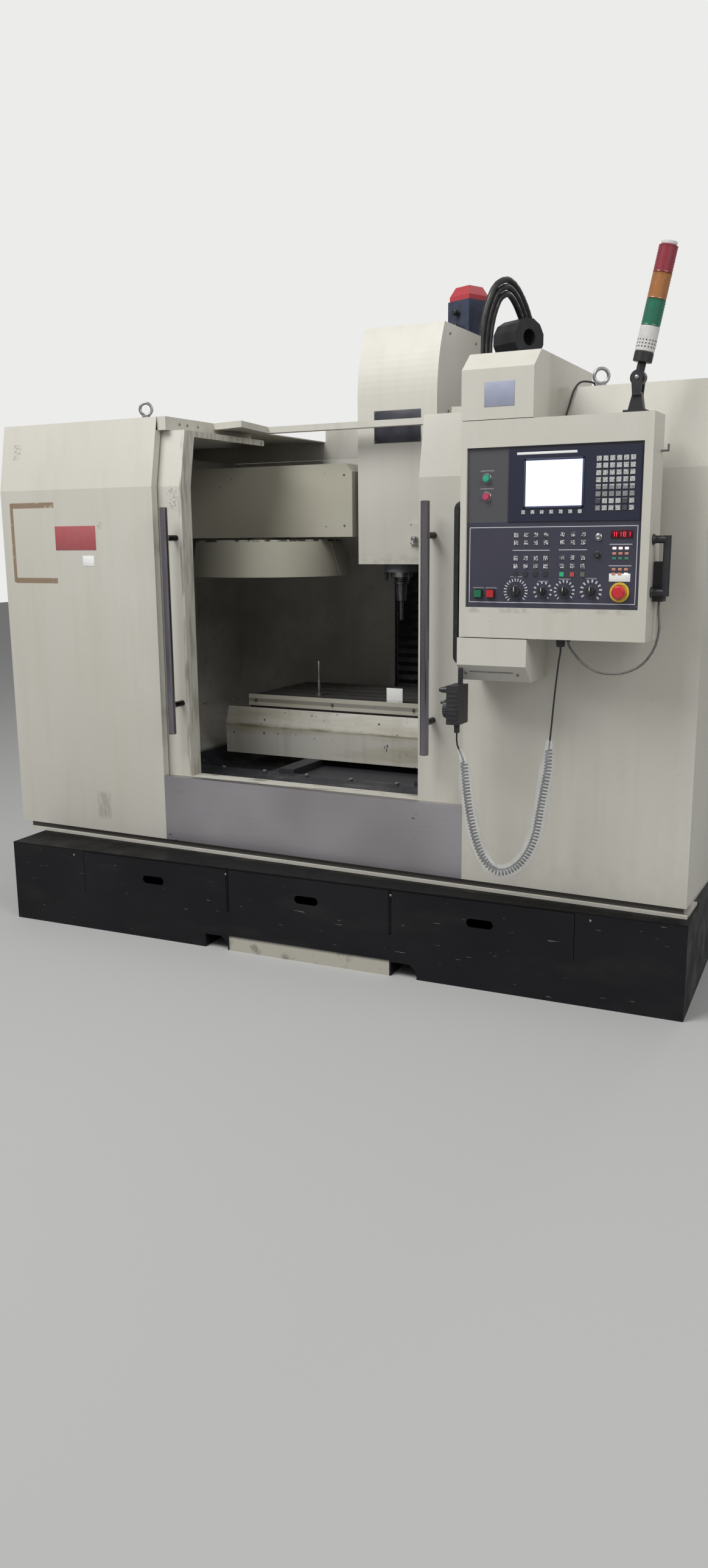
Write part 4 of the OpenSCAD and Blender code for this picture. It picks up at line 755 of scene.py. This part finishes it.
# Table and saddle: ground cast table with oil and rust marks, a cream guard along its front and
# the long folded cover that hides the saddle.
table_iron = finish("table_iron", (0.055, 0.054, 0.053), 0.45, 0.3)
stained(table_iron, (0.04, 0.039, 0.037), 0.12, 0.35, 0.7, detail=5)
chipped(table_iron, (0.085, 0.083, 0.08), (0.09, 0.3, 0.6), z=(854.6, 856), soft=0.2, stretch=(0.3, 1, 1))
stained(table_iron, (0.15, 0.075, 0.035), 0.05, 0.6, 0.75, detail=5, share=0.6)
grained(table_iron, clouds(table_iron, 0.002, 0.3, 0.7, stretch=(0.1, 1, 1)), 0.2, 0.0004)
wear(nodes["table"], table_iron)
guard_cream = creamy("guard_cream", 0.8)
stained(guard_cream, (0.42, 0.40, 0.325), 0.6, 0.1, 0.5, detail=2)
stained(guard_cream, (0.30, 0.26, 0.17), 0.16, 0.5, 0.78, stretch=(0.4, 1, 2.5), detail=5, share=0.75)
stained(guard_cream, (0.10, 0.09, 0.07), 0.02, 0.70, 0.74, stretch=(0.6, 1, 1.4))
patch(guard_cream, (0.05, 0.045, 0.04), y=(578, 584), z=(828, 844))
wear(nodes["table_guard"], guard_cream)
cover_cream = creamy("cover_cream", 0.9)
stained(cover_cream, (0.31, 0.27, 0.17), 0.2, 0.48, 0.75, stretch=(0.35, 1, 3), detail=6, share=0.8)
chipped(cover_cream, (0.22, 0.19, 0.12), (0.04, 0.35, 0.6), z=(722, 734), soft=5, stretch=(0.3, 1, 1))
stained(cover_cream, (0.09, 0.08, 0.06), 0.018, 0.69, 0.73)
chipped(
    cover_cream, (0.05, 0.05, 0.045), (0.03, 0.58, 0.61), x=(1420, 1550), y=(550, 570), z=(655, 692), soft=4,
    stretch=(1.2, 1, 0.5), turn=(0, 0.7, 0))
wear(nodes["saddle_cover"], cover_cream)
screws("guard_bolt", [(811 + 369 * number, 578.9, 836) for number in range(4)], front, 4.6, "table_unit")
for number, (x, z) in enumerate(((860, 755), (862, 700), (1400, 770), (1940, 755), (1942, 700))):
    y = 559 + max(0, z - 729) * 28 / 74
    screw(f"cover_screw_{number + 1}", (x, y, z), front, 4.5, "saddle_unit")
turned(
    "table_pin", (1055, 700, 854.9), upwards,
    [(0, 16), (8, 16), (10, 7), (60, 7), (62, 5), (140, 5), (145, 2.5)], bare_steel, "table_unit",
    20)
slab("table_card", (1419, 606, 855.1), (1490, 607.2, 916), label_white, "table_unit", 0.4)

# Tool magazine: cream housing on the column's beam, the shroud that slides under it, with a seam
# and a ragged upper edge, and the carousel with its grippers.
mag_cream = creamy("mag_cream", 0.45)
stained(mag_cream, (0.40, 0.385, 0.31), 0.5, 0.1, 0.5, detail=2)
for part in ("magazine_cover", "magazine_carriage"):
    wear(nodes[part], mag_cream)
chipped(mag_cream, (0.035, 0.034, 0.03), (0.05, 0.47, 0.52), z=(1498, 1507), soft=1.5, detail=4)
stained(mag_cream, (0.06, 0.055, 0.05), 0.03, 0.73, 0.76)
wear(nodes["carousel"], casting_paint)
wear(nodes["grippers"], bare_steel)
wheel_x, wheel_y, bush_ring = 769, 790, 243
for number in range(10):
    angle = math.radians(36 * number)
    at = (wheel_x + bush_ring * math.cos(angle), wheel_y + bush_ring * math.sin(angle), 1445.1)
    turned(
        f"gripper_bush_{number + 1}", at, upwards, [(0, 13), (3, 13), (4, 11), (9, 11), (10, 6)], bare_steel,
        "tool_wheel", 16)
screws("mag_screw", [(x, 689.9, z) for x in (420, 1190) for z in (1560, 1760)], front, 4.5, "machine")

# Duct and bracket of the control box: cream sheet-metal arms. The duct has a blank lilac plate,
# the bracket a screwed strip on its sloped face.
plate_lilac = finish("plate_lilac", (0.31, 0.335, 0.43), 0.4)
stained(plate_lilac, (0.28, 0.30, 0.39), 0.05, 0.4, 0.7)
slab("duct_plate", (2128, -199.1, 1883), (2222, -197.95, 1953), plate_lilac, "machine", 0.4)
screw("duct_stud", (2075, 60, 2041), upwards, 5, "machine")
screws("bracket_screw", [(x, -175, 1088) for x in (2071, 2242)], (0, -0.73, -0.68), 4.5, "machine")
slab("bracket_strip", (2085, -181.2, 1092), (2228, -178.4, 1095), screw_steel, "machine", 0.5)

# Control box: cream housing with a dark blue panel set into it. The raised unit on top carries the
# screen and its keys; the operator panel below has a printed border, dials, lamps and buttons.
box_cream = creamy("box_cream", 0.35)
patch(box_cream, (0.030, 0.030, 0.032), x=(2350, 2386), z=(1170, 1202.8), soft=0.2)
patch(box_cream, (0.16, 0.155, 0.15), x=(2633.4, 2660), soft=0.2)
chipped(box_cream, (0.25, 0.23, 0.19), (0.03, 0.45, 0.7), y=(-199, -197), z=(1280, 1296), soft=3)
wear(nodes["control_box"], box_cream)


def dial_print(made, x, z, inner, outer, marks):
    """Prints a ring of short marks round a dial, open below, from sizes in millimetres."""
    side = joined(made, "SUBTRACT", along(made, 0), (x - frame_origin[0]) / 1000)
    rise = joined(made, "SUBTRACT", along(made, 2), z / 1000)
    reach = joined(made, "SQRT", joined(made, "ADD", times(made, side, side), times(made, rise, rise)), 0)
    wave = joined(made, "SINE", times(made, joined(made, "ARCTAN2", rise, side), marks), 0)
    from_inner = ramp(made, reach, (inner - 0.4) / 1000, (inner + 0.4) / 1000)
    to_outer = ramp(made, reach, (outer + 0.4) / 1000, (outer - 0.4) / 1000)
    above = ramp(made, joined(made, "DIVIDE", rise, reach), -0.82, -0.76)
    over(made, times(made, from_inner, to_outer, above, ramp(made, wave, 0.3, 0.6)), (0.55, 0.55, 0.58))


panel_x, panel_z = 2055, 1203
panel_face, unit_face = -189.95, -192.95
dials = (
    ("spindle", 180, 142, 17, 29, 38, 24), ("feed", 265, 143, 12, 22, 29, 12),
    ("rapid", 331, 144.5, 13.5, 24, 32, 16), ("mode", 412, 145.5, 13.5, 24, 33, 14))


def on_panel(x, y, z):
    """A point of the operator panel, with x and z from its lower left corner."""
    return (panel_x + x, y, panel_z + z)


fascia_blue = finish("fascia_blue", (0.040, 0.040, 0.062), 0.38)
stained(fascia_blue, (0.052, 0.050, 0.072), 0.15, 0.35, 0.7, share=0.6)
patch(fascia_blue, (0.075, 0.075, 0.082), x=(2075, 2205), z=(1549, 1768), soft=0.3)
patch(fascia_blue, (0.018, 0.020, 0.040), y=(-194, -192.4), z=(1549, 1756), soft=0.3)


def panel_print(left, right, foot, top, colour=(0.58, 0.58, 0.62), keep=None):
    """Prints a bar on the panel, with its four sides from the panel's lower left corner."""
    across, up = (panel_x + left, panel_x + right), (panel_z + foot, panel_z + top)
    patch(fascia_blue, colour, x=across, z=up, soft=0.3, keep=keep)


for z in (108, 331):
    panel_print(30, 543, z - 1, z + 1)
for x in (30, 542):
    panel_print(x - 1, x + 1, 108, 331)
for left, right, z in ((168, 283, 263), (311, 396, 264), (462, 528, 279), (462, 528, 218)):
    panel_print(left, right, z - 0.9, z + 0.9)
for left, right, z in (
        (43, 77, 151), (82, 120, 151), (162, 200, 185), (250, 281, 172), (313, 349, 179), (396, 428, 181),
        (62, 104, 497), (62, 104, 445)):
    panel_print(left, right, z - 1.6, z + 1.6, (0.30, 0.30, 0.33), clouds(fascia_blue, 0.0022, 0.42, 0.5))
for name, x, z, knob_r, inner, outer, marks in dials:
    dial_print(fascia_blue, panel_x + x, panel_z + z, inner, outer, marks)
grained(fascia_blue, clouds(fascia_blue, 0.002, 0.3, 0.7), 0.15, 0.0003)
wear(nodes["control_fascia"], fascia_blue)


def panel_slab(name, low, high, made, soft, body="control"):
    """A slab on the operator panel, between two corners from its lower left corner."""
    slab(name, on_panel(*low), on_panel(*high), made, body, soft)


for number, (name, x, z, knob_r, inner, outer, marks) in enumerate(dials):
    panel_slab(
        f"knob_line_{number + 1}", (x - 0.9, -209.7, z), (x + 0.9, -209.0, z + knob_r * 0.78), label_white,
        0.2, f"dial_{name}")
    turned(
        f"knob_skirt_{number + 1}", on_panel(x, -192.35, z), front,
        [(0, knob_r + 1.5), (1.2, knob_r + 1.5), (2.2, knob_r + 0.3), (2.5, knob_r - 2)], black_plastic,
        f"dial_{name}", 24)
screws("fascia_screw", [on_panel(x, -189.9, z) for z in (101, 556) for x in (27, 546)], front, 2.4, "control")

# Screen and keys: a lit display behind a thin bezel, seven soft keys, the key field with its arrow
# cross, and the small keys of the operator panel.
screen_lit = finish("screen_lit", (0.55, 0.62, 0.78), 0.15)
stained(screen_lit, (0.72, 0.78, 0.92), 0.12, 0.2, 0.9, detail=1)


def lit(made, strength):
    """Lets a finish glow in its own colours."""
    base = sockets(made)["Base Color"]
    made.node_tree.links.new(base.links[0].from_socket, sockets(made)["Emission Color"])
    sockets(made)["Emission Strength"].default_value = strength


lit(screen_lit, 1.15)
wear(nodes["screen"], screen_lit)
bezel_blue = finish("bezel_blue", (0.055, 0.060, 0.11), 0.35)
stained(bezel_blue, (0.045, 0.050, 0.095), 0.02, 0.4, 0.7)
for name, left, right, foot, top in (
        ("left", 200, 205.5, 385, 527), ("right", 376.5, 382, 385, 527), ("top", 200, 382, 521.5, 527),
        ("foot", 200, 382, 385, 390.5)):
    panel_slab(
        f"screen_bezel_{name}", (left, -195.6, foot), (right, unit_face, top), bezel_blue, 0.5)
panel_slab("name_strip", (177, -193.6, 539), (359, unit_face, 546), label_white, 0.2)

key_plastic = finish("key_plastic", (0.50, 0.50, 0.49), 0.45)
patch(key_plastic, (0.030, 0.030, 0.034), x=(2230, 2460), z=(1374, 1530), soft=0.3)
patch(key_plastic, (0.26, 0.26, 0.255), x=(2470, 2585), z=(1614, 1647), soft=0.3)
patch(key_plastic, (0.05, 0.05, 0.055), x=(2470, 2490), z=(1575, 1611), soft=0.3)
patch(key_plastic, (0.05, 0.05, 0.055), x=(2550, 2568), z=(1575, 1611), soft=0.3)
patch(key_plastic, (0.26, 0.26, 0.255), x=(2470, 2490), z=(1575, 1592), soft=0.3)
print_specks = clouds(key_plastic, 0.0024, 0.54, 0.58, detail=1)
patch(key_plastic, (0.10, 0.10, 0.11), z=(1570, 1735), keep=times(key_plastic, print_specks, 0.8))
chipped(
    key_plastic, (0.62, 0.62, 0.64), (0.003, 0.5, 0.55), x=(2220, 2460), z=(1389, 1520), stretch=(1, 1, 1.4),
    detail=1)
patch(
    key_plastic, (0.030, 0.030, 0.034), x=(2220, 2460), z=(1388, 1404), soft=0.3,
    keep=joined(key_plastic, "ADD", print_specks, 1))
for low, high, colour in (
        (2369, 2386, (0.03, 0.42, 0.20)), (2399, 2418, (0.40, 0.07, 0.06)), (2431, 2450, (0.13, 0.13, 0.09))):
    patch(key_plastic, colour, x=(low, high), z=(1387, 1405), soft=0.2)
wear(nodes["keys"], key_plastic)

# Lamps and display of the operator panel: a red number display, two blocks of small lamps, two
# key switches and a blank white label over the emergency stop.


def glowing(name, colour, strength):
    """A lit lens in one colour."""
    made = finish(name, colour, 0.3)
    stained(made, tuple(0.8 * part for part in colour), 0.004, 0.35, 0.7)
    lit(made, strength)
    return made


lamp_white = glowing("lamp_white", (0.95, 0.80, 0.78), 0.9)
lamp_orange = glowing("lamp_orange", (0.52, 0.23, 0.16), 0.15)
lamp_green = glowing("lamp_green", (0.05, 0.22, 0.13), 0.1)
display_red = glowing("display_red", (0.9, 0.03, 0.06), 1.0)
display_black = finish("display_black", (0.045, 0.004, 0.008), 0.15)
stained(display_black, (0.08, 0.006, 0.012), 0.02, 0.4, 0.7)
panel_slab("number_display", (465, -192.0, 296), (529, panel_face, 319), display_black, 0.5)
for number, shown in enumerate(("left", "right", "both", "right")):
    x = 475 + 13 * number
    strokes = [("left", x, -192.5, 301, x + 1.8, 314)] if shown != "right" else []
    strokes.append(("right", x + 6, -192.5, 301, x + 7.8, 314))
    if shown == "both":
        strokes += [(f"bar_{int(z)}", x + 1, -192.45, z, x + 7, z + 1.6) for z in (301, 307, 312.5)]
    for stroke, left, face, foot, right, top in strokes:
        panel_slab(
            f"digit_{number + 1}_{stroke}", (left, face, foot), (right, -191.9, top), display_red,
            0.2)
for column, x in enumerate((477, 495, 513)):
    for row, (z, made) in enumerate((
            (268, lamp_white), (253, lamp_orange), (239, lamp_green), (208, lamp_orange),
            (195, lamp_white if column == 2 else lamp_orange))):
        panel_slab(
            f"lamp_{column + 1}_{row + 1}", (x - 5.5, -191.6, z - 3.4), (x + 5.5, panel_face, z + 3.4), made,
            0.7)
panel_slab("stop_label", (464, -190.5, 173), (526, panel_face, 196), label_white, 0.2)
for number, (x, z) in enumerate(((429, 300), (428, 250))):
    turned(
        f"key_switch_{number + 1}", on_panel(x, panel_face, z), front,
        [(0, 10.5), (2, 10.5), (3.5, 8.5), (3, 7.5), (7, 7), (7.5, 5.5), (6, 2)],
        (bare_steel, black_plastic)[number], "control")

# Emergency stop and push buttons: a red mushroom head on a yellow ring, the power buttons in
# turned steel collars, and the two cycle buttons in square black bezels.
stop_yellow = finish("stop_yellow", (0.62, 0.42, 0.04), 0.4)
stained(stop_yellow, (0.50, 0.34, 0.05), 0.01, 0.45, 0.75)
turned(
    "stop_ring", on_panel(497, unit_face, 142), front,
    [(0, 28.8), (2, 28.8), (2.8, 28), (2.8, 22.4), (0.3, 21.6)], stop_yellow, "control", 40)


def button(name, colour):
    """Shiny moulded plastic in one colour, a little worn."""
    made = finish(name, colour, 0.28)
    stained(made, tuple(0.72 * part for part in colour), 0.006, 0.45, 0.8)
    sockets(made)["Coat Weight"].default_value = 0.4
    return made


for name, finish_name, colour in (
        ("estop_button", "stop_red", (0.55, 0.025, 0.035)), ("power_on", "on_green", (0.03, 0.36, 0.22)),
        ("power_off", "off_red", (0.50, 0.05, 0.12)), ("cycle_start", "start_green", (0.012, 0.15, 0.07)),
        ("cycle_hold", "hold_red", (0.45, 0.02, 0.025))):
    wear(nodes[name], button(finish_name, colour))
for name, z in (("on", 475), ("off", 422)):
    turned(
        f"{name}_collar", on_panel(82, panel_face, z), front,
        [(0, 14.5), (2, 14.5), (3.2, 13.2), (3.2, 12.2), (0.3, 11.8)], bare_steel, "control")
bezel_out, bezel_in = 14, 11.6
for name, x in (("start", 60.5), ("hold", 100.5)):
    for number, (left, right, foot, top) in enumerate((
            (-bezel_out, -bezel_in, -bezel_out, bezel_out), (bezel_in, bezel_out, -bezel_out, bezel_out),
            (-bezel_in, bezel_in, bezel_in, bezel_out), (-bezel_in, bezel_in, -bezel_out, -bezel_in))):
        low, high = (x + left, -192.9, 134 + foot), (x + right, panel_face, 134 + top)
        panel_slab(f"{name}_bezel_{number + 1}", low, high, black_plastic, 0.3)

# Hand pendant: ribbed black box with a hand wheel and two selectors, hung on a hook, and the
# rubber boot where its cord leaves.
for number in range(7):
    z = 945 + 14 * number
    slab(
        f"pendant_rib_{number + 1}", (2034, -237.6, z), (2068, -235.7, z + 6), black_plastic, "machine",
        0.8)
for number, y in enumerate((-216, -176)):
    turned(
        f"selector_{number + 1}", (2008.2, y, 1036), leftwards,
        [(0, 8.8), (2, 8.8), (2.5, 7), (9, 6.4), (10, 4.5)], black_plastic, "machine", 20)
dial_grey = finish("dial_grey", (0.30, 0.30, 0.31), 0.35, 0.8)
stained(dial_grey, (0.22, 0.22, 0.225), 0.01, 0.4, 0.7)
turned(
    "wheel_face", (2012.1, -196, 974), leftwards, [(0, 26), (0.8, 25.5), (0.8, 12), (2.6, 11), (2.6, 6)],
    dial_grey, "hand_wheel")
boot_ribs = [
    (0, 10.4), (3, 10.4), (4, 8.8), (7, 10), (8, 8.4), (11, 9.6), (12, 8), (15, 9.2), (16, 7.6), (19, 8.8),
    (20, 7.2), (23, 8.2), (28, 6.5)]
turned("pendant_boot", (2051, -196, 929.3), (0, 0, -1), boot_ribs, seal_rubber, "machine", 24)
turned(
    "cord_gland", (2368, -150, 1203.2), (0, 0, -1),
    [(0, 16), (6, 16), (7, 14), (20, 13.5), (22, 12.6), (26, 8)], seal_rubber, "control", 6)
turned(
    "cable_gland", (2392, -150, 1203.2), (0, 0, -1), [(0, 9), (3, 9), (4, 7.5), (8, 6.5), (9, 5)],
    seal_rubber, "control", 6)

# Grip and socket box beside the control box: end bosses on the grip, a lid with a small clip on
# the socket box.
for end, z in (("low", 1345), ("high", 1495)):
    turned(
        f"grip_boss_{end}", (2633.1, -152, z), rightwards, [(0, 15.5), (3, 15.5), (6, 13), (8, 11.2)],
        black_plastic, "control", 24)
slab(
    "socket_lid", (2662.9, -130.5, 1330), (2665.4, -85.5, 1425), black_plastic, "control",
    1.0)
slab("socket_clip", (2665.2, -114, 1322), (2668.4, -102, 1340), screw_steel, "control", 0.8)

# Signal tower: black base with a knuckle, a white buzzer tier and three ribbed lenses under a
# white cap, all leaning to the right.
tower_foot = (2566, -130, 1943)
lean = math.radians(11.3)
tower_way = (math.sin(lean), 0, math.cos(lean))


def tier(name, low, high, radius, made, ribs):
    """One tier of the tower: a drum with shallow ribs between two heights along its axis."""
    at = tuple(c + low * w for c, w in zip(tower_foot, tower_way))
    tall = high - low
    profile = [(0, radius - 2), (2, radius)]
    for k in range(ribs):
        step = (tall - 4) / ribs
        groove = 0.9 if ribs > 1 else 0
        profile += [(2 + step * (k + 0.5), radius - groove), (2 + step * (k + 1), radius)]
    profile.append((tall - 0.3, radius - 2))
    return turned(name, at, tower_way, profile, made, "tower")


def lens(name, colour):
    """Coloured clear plastic."""
    made = button(name, colour)
    sockets(made)["Transmission Weight"].default_value = 0.25
    return made


buzzer_white = finish("buzzer_white", (0.60, 0.59, 0.57), 0.4)
stained(buzzer_white, (0.50, 0.49, 0.46), 0.02, 0.45, 0.8)
backwards = (0, 1, 0)
tower_neck = turned(
    "tower_neck", (2566, -143.5, 1943), backwards, [(0, 20), (2, 22), (25, 22), (27, 20)], black_plastic,
    "tower")
turned(
    "tower_pin", (2566, -153.2, 1943), backwards, [(0, 4.6), (0.6, 5.6), (45.8, 5.6), (46.4, 4.6)],
    bare_steel, "tower", 16)
tier("tower_stem", 10, 42, 12, black_plastic, 1)
tier("tower_base", 42, 70, 27, black_plastic, 1)
tier("tower_buzzer", 70, 138, 27, buzzer_white, 1)
tier("tower_green", 138, 208, 27, lens("lens_green", (0.02, 0.17, 0.10)), 9)
tier("tower_amber", 208, 276, 27, lens("lens_amber", (0.42, 0.17, 0.05)), 9)
tier("tower_red", 276, 348, 27, lens("lens_red", (0.30, 0.03, 0.05)), 9)
tier("tower_cap", 348, 359, 22, buzzer_white, 1)
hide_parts("tower_light")
for row in range(3):
    for number, angle in enumerate(range(-160, 21, 20)):
        around = math.radians(angle)
        across = (math.cos(around) * math.cos(lean), math.sin(around), -math.cos(around) * math.sin(lean))
        at = tuple(c + (82 + 9 * row) * w + 26.6 * a for c, w, a in zip(tower_foot, tower_way, across))
        turned(
            f"buzzer_slot_{row + 1}_{number + 1}", at, across, [(0, 2.2), (0.7, 2.0), (0.5, 1.2)],
            black_plastic, "tower", 8)

# Coolant tank: black tank that stands askew in front of the base, with three chip drawers. Its
# paint is scratched along the edges, a strip near the floor shows the cream undercoat, and a band
# along its top under the panels is darkened as painted shade.
tank_black = finish("tank_black", (0.008, 0.008, 0.010), 0.42)
sockets(tank_black)["Specular IOR Level"].default_value = 0.18
stained(tank_black, (0.013, 0.0125, 0.0145), 0.4, 0.4, 0.75, detail=3)
stained(tank_black, (0.026, 0.0255, 0.026), 0.06, 0.55, 0.8, stretch=(0.2, 1, 0.6), detail=5, share=0.5)
tank_turn = math.radians(3)
near_floor = ramp(tank_black, along(tank_black, 2), 0.058, 0.046)
bared = between(tank_black, 0, -0.3245, 0.3225, 0.002, turn=(0, 0, -tank_turn))
over(
    tank_black, times(tank_black, near_floor, bared, clouds(tank_black, 0.08, 0.2, 0.45)), (0.44, 0.42, 0.36))
stained(tank_black, (0.26, 0.25, 0.24), 0.01, 0.73, 0.75, stretch=(0.14, 1, 2.2), detail=3)
# Painted shade: the band along the tank's top, under the panels' lip, darkened further.
patch(tank_black, (0.0025, 0.0025, 0.003), z=(316, 330))
rougher(tank_black, clouds(tank_black, 0.09, 0.3, 0.7), 0.36, 0.62)
grained(tank_black, clouds(tank_black, 0.003, 0.2, 0.8), 0.2, 0.0005)
for node in ("coolant_tank", "drawer_left", "drawer_middle", "drawer_right"):
    wear(nodes[node], tank_black)


def on_tank(s, t, z):
    """Millimetres along the tank's front, into it and above the floor, as a point of the enclosure."""
    across, deep = math.cos(tank_turn), math.sin(tank_turn)
    return (130 + s * across - t * deep, -200 + s * deep + t * across, z)


tank_front = (math.sin(tank_turn), -math.cos(tank_turn), 0)
screws("tank_screw", [on_tank(s, 0.05, 296) for s in (300, 990, 1650, 2345)], tank_front, 4.5, "machine")

# Cabinet: cream sheet-metal housing on the column's back. Two blocks of louvres are pressed into
# its door, which has a turned lock at its free edge.
for row in range(8):
    for block, z in (("low", 700 + 22 * row), ("high", 1600 + 22 * row)):
        slab(
            f"cabinet_louvre_{block}_{row + 1}", (1230, 2315.8, z), (1570, 2319.6, z + 9), cream_paint,
            "cabinet_leaf", 1.6)
turned(
    "cabinet_lock", (1775, 2319.9, 1250), backwards, [(0, 14), (2, 14), (3, 12.5), (2, 6)], screw_steel,
    "cabinet_leaf")
